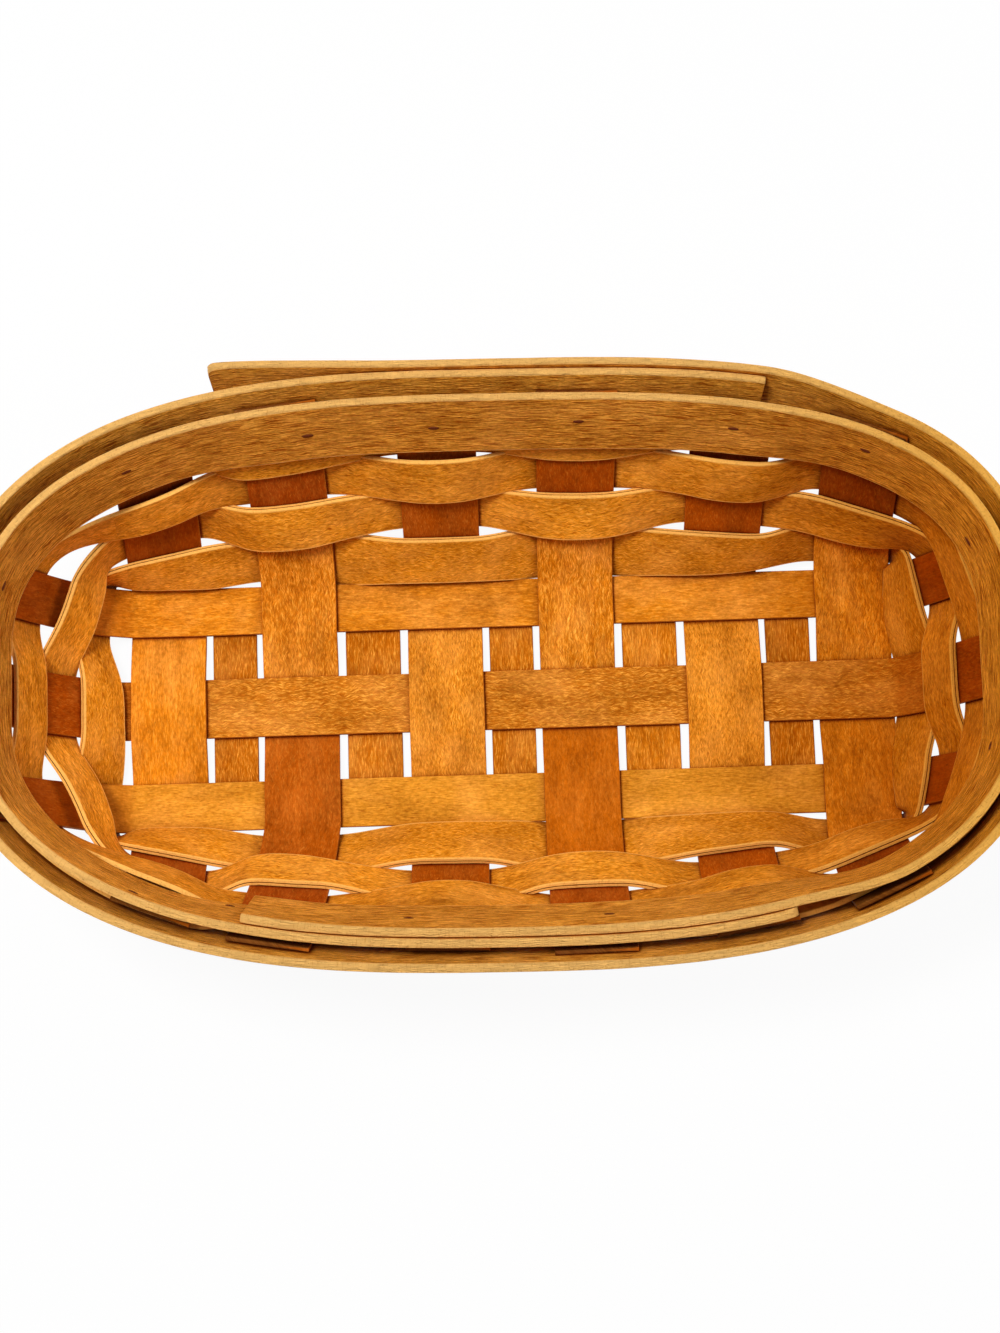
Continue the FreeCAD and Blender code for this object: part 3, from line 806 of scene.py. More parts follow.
@node_tree("Shaved Strip", "GeometryNodeTree", {
    "Frames": "Geometry", "Profile": "Object", "Closed": 0.0, "Round Length": 0.0,
    "Edge Waver": 0.12 * MM, "Waver Pitch": 14.0 * MM, "Ripple": 0.05 * MM, "Ripple Pitch": 9.0 * MM,
    "Seed": 0.0, "Wood": "Material"}, {"Strip": "Geometry"})
def strip_tree(tree, given):
    """Geometry nodes that sweep a profile along the frames of a strip and make it look hand cut."""
    path = given["Frames"]
    profile = field(tree, "GeometryNodeObjectInfo", {"Object": given["Profile"]}, "Geometry")
    stations, corners = [field(tree, "GeometryNodeAttributeDomainSize", {0: mesh}, "Point Count")
                         for mesh in (path, profile)]
    columns = corners + 1.0
    grid = field(tree, "GeometryNodeMeshGrid", {"Vertices X": stations + given["Closed"], "Vertices Y": columns})
    index = field(tree, "GeometryNodeInputIndex")
    row = ((index + 0.5) / columns).maths("FLOOR")
    station = (row % stations + 0.1).maths("FLOOR")
    corner = ((index - row * columns) % corners + 0.1).maths("FLOOR")

    def sample(geometry, value, place, kind="FLOAT"):
        if isinstance(value, str):
            value = field(tree, "GeometryNodeInputNamedAttribute", {"Name": value}, data_type=kind)
        return field(tree, "GeometryNodeSampleIndex", {"Geometry": geometry, "Value": value, "Index": place},
                     data_type=kind, domain="POINT")

    def uneven(pitch, shift, size):
        """Noise between plus and minus size, at a place on the strip."""
        place = centre.vector("SCALE", 1.0 / pitch).vector("ADD", shift)
        noise = field(tree, "ShaderNodeTexNoise", {"Vector": place, "Scale": 1.0, "Detail": 2.0})
        return (noise - 0.5) * (size * 2.0)

    spot = field(tree, "GeometryNodeInputPosition")
    centre, across, thick = [sample(path, value, station, "FLOAT_VECTOR") for value in (spot, "across", "thick")]
    along, tone = [sample(path, value, station) for value in ("along", "tone")]
    along += row.maths("GREATER_THAN", stations - 0.5) * given["Round Length"]
    wide, deep = split(sample(profile, spot, corner, "FLOAT_VECTOR"))[:2]
    edge_shift = combine(tree, wide.maths("SIGN") * SIDE_SHIFT, given["Seed"])
    waver = uneven(given["Waver Pitch"], edge_shift, given["Edge Waver"])
    ripple = uneven(given["Ripple Pitch"], combine(tree, wide, 0.0, given["Seed"]), given["Ripple"])
    place = centre
    for way, amount in ((across, wide), (thick, deep), (across.vector("NORMALIZE"), waver * wide),
                        (thick.vector("NORMALIZE"), ripple)):
        place = place.vector("ADD", way.vector("SCALE", amount))
    strip = field(tree, "GeometryNodeSetPosition", {"Geometry": grid, "Position": place})
    unwrapped = combine(tree, along, wide * across.vector("LENGTH") + deep * thick.vector("LENGTH"))
    unwrapped = field(tree, "GeometryNodeFieldOnDomain", {0: unwrapped}, data_type="FLOAT_VECTOR", domain="POINT")
    for label, value, kind, domain in (("UVMap", unwrapped, "FLOAT2", "CORNER"),
                                       ("edge", sample(profile, "edge", corner), "FLOAT", "POINT"),
                                       ("tone", tone, "FLOAT", "POINT")):
        strip = field(tree, "GeometryNodeStoreNamedAttribute", {"Geometry": strip, "Name": label, "Value": value},
                      data_type=kind, domain=domain)
    strip = field(tree, "GeometryNodeMergeByDistance", {"Geometry": strip, "Distance": WELD})
    strip = field(tree, "GeometryNodeRealizeInstances", {"Geometry": strip})
    return {"Strip": field(tree, "GeometryNodeSetMaterial", {"Geometry": strip, "Material": given["Wood"]})}


def linked(name, data):
    """New object in the scene."""
    made = bpy.data.objects.new(name, data)
    bpy.context.scene.collection.objects.link(made)
    return made


def point_object(name, points, attributes):
    """Helper mesh of loose points that carry named values for a node tree."""
    mesh = bpy.data.meshes.new(name)
    mesh.from_pydata([tuple(point) for point in points], [], [])
    for label, values in attributes.items():
        if isinstance(values[0], Vector):
            kind, key, flat = "FLOAT_VECTOR", "vector", [part for value in values for part in value]
        else:
            kind, key, flat = "FLOAT", "value", values
        mesh.attributes.new(label, kind, "POINT").data.foreach_set(key, flat)
    return linked(name, mesh)


# Share of cut edge on a strip's rounded corners, at least, and what is left of it on its lit side, since on a splint
# the cut edge is a painted shadow line
CORNER_EDGE_SHARE = 0.8
LIT_SIDE_EDGE = 0.2

# Half width of a groove's mouth in shares of its depth, and what is left of it half way down
MOUTH = 0.3
HALF_WAY = 0.8


def profile_points(half_width, half_depth, rounding, arris, groove, lit_side, face_cuts=6, arc_cuts=3):
    """Corners of a strip's section in shares of its half sizes, each with its share of cut edge, or -1 in a seam."""
    points = []

    def add(x, y, edge):
        # On a splint the cut edge carries a painted shadow line, so it is mostly left off on the side towards the
        # lamp.
        kept = LIT_SIDE_EDGE if x * lit_side > 0 and edge > 0 else 1.0
        points.append((x / half_width, y / half_depth, edge * kept))

    if groove:
        mouth = groove * MOUTH
        for depth, y, edge in ((0, -mouth, CORNER_EDGE_SHARE), (groove / 2, -mouth * HALF_WAY, -1.0), (groove, 0.0, -1.0),
                               (groove / 2, mouth * HALF_WAY, -1.0), (0, mouth, CORNER_EDGE_SHARE)):
            add(half_width - depth, y, edge)
    for quarter, (x_side, y_side) in enumerate(((1, 1), (-1, 1), (-1, -1), (1, -1))):
        for step in range(arc_cuts + 1):
            angle = math.pi / 2 * (quarter + step / arc_cuts)
            add(x_side * (half_width - rounding) + rounding * math.cos(angle),
                y_side * (half_depth - rounding) + rounding * math.sin(angle), max(abs(math.cos(angle)), CORNER_EDGE_SHARE))
        if quarter % 2 == 0:
            for step in range(face_cuts + 1):
                add(y_side * (half_width - rounding - arris) * (1 - 2 * step / face_cuts), y_side * half_depth, 0.0)
    return points


def plain_mesh(name, helper, tree, values):
    """Runs a node tree on a helper object, which it uses up, and keeps the result as a plain mesh object."""
    modifier = helper.modifiers.new("Tree", "NODES")
    modifier.node_group = tree
    for label, value in values.items():
        modifier[tree.interface.items_tree[label].identifier] = value
    mesh = bpy.data.meshes.new_from_object(helper.evaluated_get(bpy.context.evaluated_depsgraph_get()))
    helper.modifiers.remove(modifier)
    remove(helper)
    mesh.name = name
    return linked(name, mesh)


def remove(helper):
    mesh = helper.data
    bpy.data.objects.remove(helper)
    bpy.data.meshes.remove(mesh)


def signed_volume(mesh):
    mesh.calc_loop_triangles()
    corners = ([mesh.vertices[index].co for index in triangle.vertices] for triangle in mesh.loop_triangles)
    return sum(a.dot(b.cross(c)) for a, b, c in corners)


def finish_piece(piece, slot, node=None):
    if not piece.data.polygons:
        raise RuntimeError("%s came out empty" % piece.name)
    if signed_volume(piece.data) < 0:
        piece.data.flip_normals()
    piece.data.shade_smooth()
    piece.data.set_sharp_from_angle(angle=SHARP_ANGLE)
    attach(piece, BODY)
    if node:
        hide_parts(node)


def make_strip(wall, name, node, frames, kind, tint=(1.0, 1.0, 1.0), upright=(1.0, 1.0, 1.0), closed=False,
               groove=0.0, lit_side=0, tone=lambda centre: 0.0):
    """Finished strip along its frames, riding on the basket in place of a node's solid."""
    look = KINDS[kind]
    rounding = wall.rim.rounding if kind == "band" else wall.splint.rounding
    if not closed:
        frames = with_ends(frames, rounding)
    centres, across, thick = map(list, zip(*frames))
    along = [0.0]
    for before, after in zip(centres, centres[1:]):
        along.append(along[-1] + (after - before).length)
    path = point_object(name + "_frames", centres, {"across": across, "thick": thick, "along": along,
                                                    "tone": [tone(centre) for centre in centres]})
    corners = profile_points(max(item.length for item in across), max(item.length for item in thick), rounding,
                             look.slope * MM, groove, lit_side)
    profile = point_object(name + "_profile", [(x, y, 0) for x, y, edge in corners],
                           {"edge": [edge for x, y, edge in corners]})
    piece = plain_mesh(name, path, strip_tree(), {
        "Profile": profile, "Closed": float(closed), "Seed": seed_of(node),
        "Wood": wood_material(wall.colours, node, kind, tint, upright),
        "Round Length": along[-1] + (centres[0] - centres[-1]).length})
    remove(profile)
    finish_piece(piece, look.slot, node)


# Materials

# Noise in the wood: length and width of its features in millimetres, its detail, and the shift of its seed
NOISES = {"bend": (4.0, 5.0, 2.0, 3.0), "dashes": (2.6, 0.5, 2.0, 23.0), "patches": (22.0, 11.0, 3.0, 41.0),
          "broad": (9.0, 2.4, 2.0, 53.0), "ticks": (0.45, 2.5, 2.0, 61.0), "specks": (1.0, 0.4, 2.0, 71.0),
          "spots": (1.8, 0.8, 1.0, 83.0), "mottle": (1.3, 0.8, 3.0, 91.0), "glow": (17.0, 12.0, 2.0, 97.0)}

# Values of the noise between which each of these shows, and how far the patches of each size swing
SHOWN = {"dashes": (0.62, 0.72), "spots": (0.72, 0.78), "glow": (0.44, 0.66), "ticks": (0.54, 0.72),
         "specks": (0.60, 0.68)}
SWINGS = {"patches": 2.0, "broad": 0.9, "mottle": 2.0}

# How far the fibres swing, and how much shows of a light one, of a dark one and of a spot on an upright
FIBRE_SWING = 7.0
LIGHT_SHARE = 0.8
DARK_SHARE = 0.9
SPOT_SHARE = 0.8

# How fast the grain dulls in the painted shade of an upright, and how much of it goes at most
DULLING = 1.4
DULLEST = 0.8

# Powers of a patch's shade in red and in blue
RED_POWER = 0.8
BLUE_POWER = 1.6

# Values of the edge at which the cut wood and the seam show, and open shares at which the painted shade in corners
# and the painted contact shadows darken the wood
EDGE_SHOWN = (0.25, 0.85)
SEAM_SHOWN = (-0.1, -0.8)
CORNER_SHADE_SHOWN = (0.92, 0.10)
CONTACT_SHADOW_SHOWN = (0.86, 0.40)
EDGE_SPARED = 0.85

# Roughness of the wood, and how much of it a fibre takes
ROUGHNESS = 0.58
FIBRE_GLOSS = 0.05

# Colours of the painted shade on the uprights' tips between the bands and of the dark grain in the uprights' painted
# shade, of the ticks and specks on a cut edge, and of a seam between plies
TIP_SHADE_COLOUR = (0.17, 0.060, 0.012, 1)
SHADED_GRAIN_DARK = (0.16, 0.03, 0.001, 1)
TICK_WOOD = (0.70, 0.24, 0.035, 1)
SPECK_WOOD = (0.42, 0.12, 0.015, 1)
SEAM_WOOD = (0.34, 0.09, 0.008, 1)
WHITE = (1, 1, 1, 1)

# Colour of the paler, pinker places on a strip, and how far they go towards it
GLOW = (0.88, 0.38, 0.07, 1)
GLOW_SHARE = 0.40

# Places along the basket between which painted shade darkens the wood towards the right end, standing in for light
# that falls off there, and depth of the painted shade in corners
FAR_SHADE_PLACES = (40 * MM, 150 * MM)
CORNER_SHADE_DEPTH = 3.5 * MM

# Depth of the painted contact shadow, a sharp dark line beside an overlapping strip, and the side of the lamp that
# casts it
CONTACT_SHADOW_DEPTH = 1.1 * MM
CONTACT_SHADOW_SIDE = (-0.60, 0.40, 0.0)

# Kinds of strips: colour of the wood and of its cut edges, which on a splint is a painted shadow line, material slot,
# width of the worn edge's slope and depth of the relief in millimetres, and strength of the grain
Kind = namedtuple("Kind", "wood edge slot slope relief grain")
KINDS = {
    "even": Kind("base", "splint_edge", "base_splint", 0.05, 0.05, (0.46, 0.34, 0.66, 1.4, 2.2, 0.27)),
    "curly": Kind("base", "splint_edge", "base_splint", 0.05, 0.05, (0.76, 0.55, 0.64, 2.8, 1.9, 0.27)),
    "plain": Kind("base", "splint_edge", "base_splint", 0.05, 0.05, (0.42, 0.60, 0.58, 0.8, 2.6, 0.27)),
    "filler": Kind("filler", "splint_edge", "filler_wood", 0.05, 0.05, (0.68, 0.40, 0.54, 1.4, 2.6, 0.28)),
    "weaver": Kind("weaver", "weaver_edge", "weaver_wood", 0.7, 0.05, (0.76, 0.50, 0.64, 3.2, 2.1, 0.28)),
    "band": Kind("rim", "edge", "rim_wood", 0.25, 0.08, (1.75, 0.70, 0.60, 1.4, 6.5, 0.27)),
}
GRAIN_INPUTS = ("Fibre", "Dashes", "Patches", "Curl", "Fibre Length", "Fibre Width")

# Shine of the wood and of the tacks, and the lighter specks on a tack with the scale of their noise
WOOD_SHINE = {"Specular IOR Level": 0.14, "Specular Tint": (1.0, 0.5, 0.08, 1.0)}
STEEL_SHINE = {"Metallic": 0.2, "Specular IOR Level": 0.08}
STEEL_SPECK = (0.17, 0.04, 0.010, 1)
STEEL_GRAIN = 2500.0


@node_tree("Shaved Wood Grain", "ShaderNodeTree", {
    "Wood": (0.8, 0.3, 0.05, 1), "Shaded": (0.4, 0.1, 0.01, 1), "Dark": (0.2, 0.06, 0.01, 1),
    "Light": (0.9, 0.4, 0.1, 1), "Edge": (0.9, 0.45, 0.1, 1), "Fibre": 1.0, "Dashes": 0.4, "Patches": 0.3,
    "Curl": 1.6, "Fibre Length": 2.4, "Fibre Width": 0.36, "Ticks": 0.4, "Seed": 0.0,
    "Corner": (0.2, 0.05, 0.01, 1), "Far End": (0.7, 0.6, 0.4, 1)},
    {"Color": "Color", "Roughness": "Float", "Height": "Float"})
def grain_and_shade_group(tree, given):
    """Shader group of shaved wood: curly fibres, dashes and patches along the strip, its cut edges, and painted shade
    on the uprights and their tips, in corners, beside overlapping strips and towards the right end.
    """
    u, v = [part / MM for part in split(field(tree, "ShaderNodeUVMap", uv_map="UVMap"))[:2]]

    def noise(across, length, width, detail, shift):
        place = combine(tree, u / length, across / width, given["Seed"] + shift)
        return field(tree, "ShaderNodeTexNoise", {"Vector": place, "Scale": 1.0, "Detail": detail, "Roughness": 0.6})

    def stepped(value, low, high):
        return field(tree, "ShaderNodeMapRange", {"Value": value, "From Min": low, "From Max": high})

    def above(name, across=v):
        """1 where a noise is high, 0 where it is low."""
        return stepped(noise(across, *NOISES[name]), *SHOWN[name])

    def centred(name, size):
        return (noise(v, *NOISES[name]) - 0.5) * size

    def darkened(colour, amount, shade):
        return mixed(tree, 1.0, colour, mixed(tree, amount, WHITE, shade), "MULTIPLY")

    edge, tone = [field(tree, "ShaderNodeAttribute", output="Fac", attribute_name=name) for name in ("edge", "tone")]
    wavy = v + centred("bend", given["Curl"])
    lively = 1.0 - (tone * DULLING).maths("MINIMUM", DULLEST)
    fibre = (noise(wavy, given["Fibre Length"], given["Fibre Width"], 3.0, 11.0) - 0.5) * FIBRE_SWING
    fibre = fibre * given["Fibre"] * lively
    dashes = above("dashes", wavy)
    # Painted shade: tone blends the wood into the uprights' shaded colour, and past 1 into the darker shade of the
    # tips between the bands.
    body = mixed(tree, tone - 1.0, mixed(tree, tone, given["Wood"], given["Shaded"]), TIP_SHADE_COLOUR)
    dark = mixed(tree, tone, given["Dark"], SHADED_GRAIN_DARK)
    for share_there, colour_there in (
            (fibre.maths("MAXIMUM") * LIGHT_SHARE, given["Light"]),
            ((fibre * -1.0).maths("MAXIMUM") * DARK_SHARE, dark),
            (dashes * (given["Dashes"] * lively), dark),
            (above("spots") * (tone * SPOT_SHARE).maths("MINIMUM", SPOT_SHARE), dark),
            (above("glow") * given["Patches"] * lively * GLOW_SHARE, GLOW)):
        body = mixed(tree, share_there, body, colour_there)
    patches, broad, mottle = [centred(name, swing) for name, swing in SWINGS.items()]
    shade = (patches + broad + mottle) * given["Patches"] + 1.0
    tint = combine(tree, shade.maths("POWER", RED_POWER), shade, shade.maths("POWER", BLUE_POWER))
    body = mixed(tree, 1.0, body, tint, "MULTIPLY")
    cut = mixed(tree, above("ticks") * given["Ticks"], given["Edge"], TICK_WOOD)
    cut = mixed(tree, above("specks") * given["Ticks"], cut, SPECK_WOOD)
    on_edge = stepped(edge, *EDGE_SHOWN)
    body = mixed(tree, on_edge, body, cut)
    body = mixed(tree, stepped(edge, *SEAM_SHOWN), body, SEAM_WOOD)
    # Painted shade: the wood darkens towards the right end of the basket, in place of light that falls off there.
    far = field(tree, "ShaderNodeMapRange", {
        "Value": split(field(tree, "ShaderNodeTexCoord", output="Object"))[0], "From Min": FAR_SHADE_PLACES[0],
        "From Max": FAR_SHADE_PLACES[1]}, interpolation_type="SMOOTHSTEP")
    body = darkened(body, far, given["Far End"])
    # Painted shade and shadow: occlusion darkens the wood in corners, and occlusion leaned towards the key lamp
    # paints a sharp shadow line beside overlapping strips.
    facing = field(tree, "ShaderNodeNewGeometry", output="Normal")
    shadow_normal = facing.vector("ADD", CONTACT_SHADOW_SIDE).vector("NORMALIZE")
    corner_shade = field(tree, "ShaderNodeAmbientOcclusion", {"Distance": CORNER_SHADE_DEPTH}, "AO", samples=4)
    contact_shadow = field(tree, "ShaderNodeAmbientOcclusion", {"Distance": CONTACT_SHADOW_DEPTH, "Normal": shadow_normal}, "AO", samples=6)
    for occlusion, shown in ((corner_shade, CORNER_SHADE_SHOWN), (contact_shadow, CONTACT_SHADOW_SHOWN)):
        body = darkened(body, stepped(occlusion, *shown) * (1.0 - on_edge * EDGE_SPARED), given["Corner"])
    return {"Color": body, "Roughness": ROUGHNESS - fibre * FIBRE_GLOSS, "Height": fibre - dashes}


def surfaced(owner, kind, fill):
    """Gives a material or a world the surface that fill makes in its node tree."""
    owner.use_nodes = True
    tree = owner.node_tree
    tree.nodes.clear()
    put(tree, kind, {"Surface": fill(tree)})
    return owner


def wood_material(colours, node, kind, tint, upright):
    """Material of one strip: shaved wood with its own seed and a kind of grain."""
    look = KINDS[kind]
    prefix = "band_" if kind == "band" else ""
    # Shaded is the uprights' painted shade, tinted for each splint.
    values = {"Wood": tinted(getattr(colours, look.wood), tint), "Shaded": tinted(colours.shaded, upright),
              "Dark": colours.dark, "Light": colours.light, "Edge": getattr(colours, look.edge),
              "Corner": getattr(colours, prefix + "corner"), "Far End": getattr(colours, prefix + "far_end")}

    def surface(tree):
        group = put(tree, "ShaderNodeGroup", {label: (*value, 1) for label, value in values.items()}
                    | {"Seed": seed_of(node)} | dict(zip(GRAIN_INPUTS, look.grain)), node_tree=grain_and_shade_group())
        made = {entry.name: Field(entry) for entry in group.outputs}
        relief = field(tree, "ShaderNodeBump", {"Height": made["Height"], "Distance": look.relief * MM,
                                                 "Strength": 1.0})
        return field(tree, "ShaderNodeBsdfPrincipled", {
            "Base Color": made["Color"], "Roughness": made["Roughness"], "Normal": relief} | WOOD_SHINE)

    return surfaced(bpy.data.materials.new("Wood " + node.replace("_", " ").title()), "ShaderNodeOutputMaterial",
                    surface)


def steel_material(colours):
    def surface(tree):
        place = field(tree, "ShaderNodeTexCoord", output="Object")
        speckle = field(tree, "ShaderNodeTexNoise", {"Vector": place, "Scale": STEEL_GRAIN, "Detail": 3.0})
        colour_there = mixed(tree, speckle, (*colours.steel, 1), STEEL_SPECK)
        return field(tree, "ShaderNodeBsdfPrincipled", {
            "Base Color": colour_there, "Roughness": speckle * 0.3 + 0.4} | STEEL_SHINE)

    return surfaced(bpy.data.materials.new("Tack Steel"), "ShaderNodeOutputMaterial", surface)


# Tacks

@node_tree("Tack Heads", "GeometryNodeTree", {
    "Places": "Geometry", "Head Length": 2.0 * MM, "Head Width": 2.0 * MM, "Dome": 0.5 * MM,
    "Unevenness": 0.2, "Seed": 0, "Metal": "Material"}, {"Heads": "Geometry"})
def tack_tree(tree, given):
    """Geometry nodes that set one small domed head at each point, turned to face its way."""
    facing, run = [field(tree, "GeometryNodeInputNamedAttribute", {"Name": name}, data_type="FLOAT_VECTOR")
                   for name in ("facing", "run")]
    head = field(tree, "GeometryNodeMeshUVSphere", {"Segments": 14, "Rings": 7, "Radius": 0.5})
    size = combine(tree, given["Head Length"], given["Head Width"], given["Dome"])
    head = field(tree, "GeometryNodeTransform", {"Geometry": head, "Scale": size})
    upright = field(tree, "FunctionNodeAlignEulerToVector", {"Vector": facing}, axis="Z")
    turned = field(tree, "FunctionNodeAlignEulerToVector", {"Rotation": upright, "Vector": run},
                   axis="X", pivot_axis="Z")
    spread = put(tree, "FunctionNodeRandomValue", {"Seed": given["Seed"]}, data_type="FLOAT")
    chance = Field(next(entry for entry in spread.outputs if entry.enabled))
    heads = field(tree, "GeometryNodeInstanceOnPoints", {
        "Points": given["Places"], "Instance": head, "Rotation": turned,
        "Scale": (chance - 0.5) * given["Unevenness"] + 1.0})
    heads = field(tree, "GeometryNodeRealizeInstances", {"Geometry": heads})
    return {"Heads": field(tree, "GeometryNodeSetMaterial", {"Geometry": heads, "Material": given["Metal"]})}


# How far the heads sit under the rim, how much that varies, how far they stray along the rim, in radians, and the
# steps of both from one head to the next
HEAD_DROP = 9.5 * MM
HEAD_DROP_SPREAD = 1.2 * MM
HEAD_STRAY = 0.02
STRAY_STEP = 2.4
DROP_STEP = 1.7
TACK_SEED = 5

# Pieces of the tacks, with the length, width and depth of one in millimetres
TACK_SIZES = {"tack_heads": (3.0, 3.0, 0.9), "tack_points": (3.0, 1.1, 0.5)}

# Clinched points on the inside of the rim: polar angle in degrees and drop under the rim in millimetres
CLINCHED = ((148.5, 7.8), (124.5, 9.8), (102.0, 9.8), (73.0, 8.3), (48.0, 8.8), (32.0, 7.3), (15.5, 12.8),
            (350.0, 12.8), (168.5, 9.3), (212.0, 3.0), (222.5, 16.0), (250.5, 8.3), (289.5, 8.3))


def tack_place(wall, side, angle, drop):
    """Place on the outermost or innermost face of the bands, with the ways that a tack faces and runs."""
    first, final = outer_span(wall) if side > 0 else inner_span(wall)
    if side > 0:
        turned = final - (final - angle) % (2 * math.pi)
        offset = outer_offset(wall, turned)
    else:
        turned = first + (angle - first) % (2 * math.pi)
        offset = inner_offset(wall, turned)
    top, rise, normal = wall.band_frame(turned, offset + side * wall.rim.thickness / 2)
    return top - rise * drop, normal * side, rise.cross(normal)


def head_places(wall):
    """Places of the tack heads on the outside of the rim, one at each upright."""
    return [tack_place(wall, 1, math.atan2(leg.rim.y, leg.rim.x) + HEAD_STRAY * math.sin(place * STRAY_STEP),
                       HEAD_DROP + HEAD_DROP_SPREAD * math.sin(place * DROP_STEP))
            for place, leg in enumerate(wall.ring)]


def point_places(wall):
    """Places of the clinched points on the inside of the rim."""
    return [tack_place(wall, -1, math.radians(angle), drop * MM) for angle, drop in CLINCHED]


# Wood of each strip: its kind, its tint over the kind's colour and over the painted shade of its uprights, or its
# tint alone
LENGTHWISE_WOOD = (("even", (0.86, 0.91, 0.95)), ("curly", (0.71, 0.74, 1.2)), ("plain", (0.88, 1.16, 2.4)))
CROSSWISE_WOOD = (("even", (0.91, 0.93, 0.8), (0.86, 0.83, 1.0)), ("curly", (0.88, 0.86, 0.9), (0.93, 0.82, 1.0)),
                  ("curly", (0.96, 1.06, 1.6), (1.03, 1.12, 1.2)), ("curly", (0.85, 0.83, 0.6), (1.08, 1.08, 1.0)),
                  ("curly", (1.08, 1.24, 2.2), (1.14, 1.22, 1.2)), ("curly", (1.06, 1.12, 0.9), (0.86, 0.83, 1.0)))
WEAVER_TINTS = ((0.92, 0.95, 1.0), (1.06, 1.14, 1.5), (1.0, 1.08, 1.4), (1.05, 1.25, 2.0))
FILLER_TINTS = ((0.84, 0.80, 0.6), (0.90, 0.88, 0.8), (0.94, 0.94, 0.9), (1.10, 1.18, 1.4), (0.96, 0.96, 0.9))

# Heights between which a splint turns from the wood of the base to the painted shade of its uprights, and then to the
# darker painted shade of its tip between the bands
EARLY_SHADE = (3 * MM, 10 * MM)
LATE_SHADE = (11 * MM, 19 * MM)
TIP_SHADE = (44 * MM, 50 * MM)

# How dull the front half of a crosswise splint is, where that starts and the way over which it grows
FRONT_DULL = {1: 0.8, 3: 0.62, 5: 0.3}
FRONT_START = 3 * MM
FRONT_WAY = 5 * MM

# How far a lengthwise splint turns to painted shade past the base, where it bends up and catches less light, and the
# way over which that grows
END_SHADE = 0.4
END_WAY = 4 * MM

# Range of the seeds that are made from a name, and the step between two of them
SEED_RANGE = 997
SEED_STEPS = 7


def tinted(wood, tint):
    return [min(1.0, channel * factor) for channel, factor in zip(wood, tint)]


def seed_of(name):
    return sum(ord(letter) * (place + 1) for place, letter in enumerate(name)) % SEED_RANGE / SEED_STEPS


def shade_share(centre, early):
    """Share of painted shade: 0 on the base, 1 on the wall and 2 at the tips between the bands."""
    return sum(smooth_step((centre.z - first) / (final - first))
               for first, final in (EARLY_SHADE if early else LATE_SHADE, TIP_SHADE))


def crosswise_tone(index):
    """Share of the uprights' painted shade along a crosswise splint; the front half of every other one is duller
    wood, taken towards the same colour.
    """
    return lambda centre: max(FRONT_DULL.get(index, 0.0) * smooth_step((-centre.y - FRONT_START) / FRONT_WAY),
                              shade_share(centre, index % 2 == 0))


def lengthwise_tone(wall, index):
    """Share of painted shade along a lengthwise splint: on its uprights, and some of it past the ends of the base
    where the splint bends up.
    """
    def tone(centre):
        leg = (wall.right if centre.x > 0 else wall.left)[index]
        past = abs(centre.x - wall.splint.base_shift) - wall.half_length
        return max(END_SHADE * smooth_step(past / END_WAY + 0.5), shade_share(centre, leg.outside_first))
    return tone


# Operators

class BasketOperator:
    bl_options = {"REGISTER", "UNDO"}


class BASKET_OT_lengthwise(BasketOperator, bpy.types.Operator):
    """Make the three lengthwise splints"""
    bl_idname = "basket.lengthwise"
    bl_label = "Lengthwise Splints"

    def execute(self, context):
        wall = Wall(context.scene)
        for index, place in enumerate(("back", "middle", "front")):
            make_strip(wall, "splint_" + place, "lengthwise_splint_" + place,
                       eased(lengthwise_frames(wall, index), False), *LENGTHWISE_WOOD[index],
                       lit_side=1, tone=lengthwise_tone(wall, index))
        return {"FINISHED"}


class BASKET_OT_crosswise(BasketOperator, bpy.types.Operator):
    """Make the six wide crosswise splints"""
    bl_idname = "basket.crosswise"
    bl_label = "Crosswise Splints"

    def execute(self, context):
        wall = Wall(context.scene)
        for index, letter in enumerate("abcdef"):
            make_strip(wall, "splint_" + letter, "crosswise_splint_" + letter,
                       eased(crosswise_frames(wall, index), False), *CROSSWISE_WOOD[index],
                       lit_side=-1, tone=crosswise_tone(index))
        return {"FINISHED"}


class BASKET_OT_fillers(BasketOperator, bpy.types.Operator):
    """Make the five filler strips between the crosswise splints"""
    bl_idname = "basket.fillers"
    bl_label = "Filler Strips"

    def execute(self, context):
        wall = Wall(context.scene)
        for index, pair in enumerate(("ab", "bc", "cd", "de", "ef")):
            make_strip(wall, "filler_" + pair, "filler_strip_" + pair, filler_frames(wall, index), "filler",
                       FILLER_TINTS[index])
        return {"FINISHED"}


class BASKET_OT_weavers(BasketOperator, bpy.types.Operator):
    """Make the four weaver rows that run round the wall"""
    bl_idname = "basket.weavers"
    bl_label = "Weaver Rows"

    def execute(self, context):
        wall = Wall(context.scene)
        for row in range(wall.weaver.rows):
            name = "row_%d" % (row + 1)
            make_strip(wall, name, "weaver_" + name, eased(weaver_frames(wall, row), True), "weaver",
                       WEAVER_TINTS[row], closed=True, groove=wall.weaver.groove if row < DOUBLE_ROWS else 0.0)
        return {"FINISHED"}


class BASKET_OT_bands(BasketOperator, bpy.types.Operator):
    """Make the inner and the outer rim band with their laps"""
    bl_idname = "basket.bands"
    bl_label = "Rim Bands"

    def execute(self, context):
        wall = Wall(context.scene)
        for name, span, offset in (("band_inner", inner_span, inner_offset),
                                   ("band_outer", outer_span, outer_offset)):
            make_strip(wall, name, "rim_" + name, hoop_frames(wall, *span(wall), offset), "band")
        return {"FINISHED"}


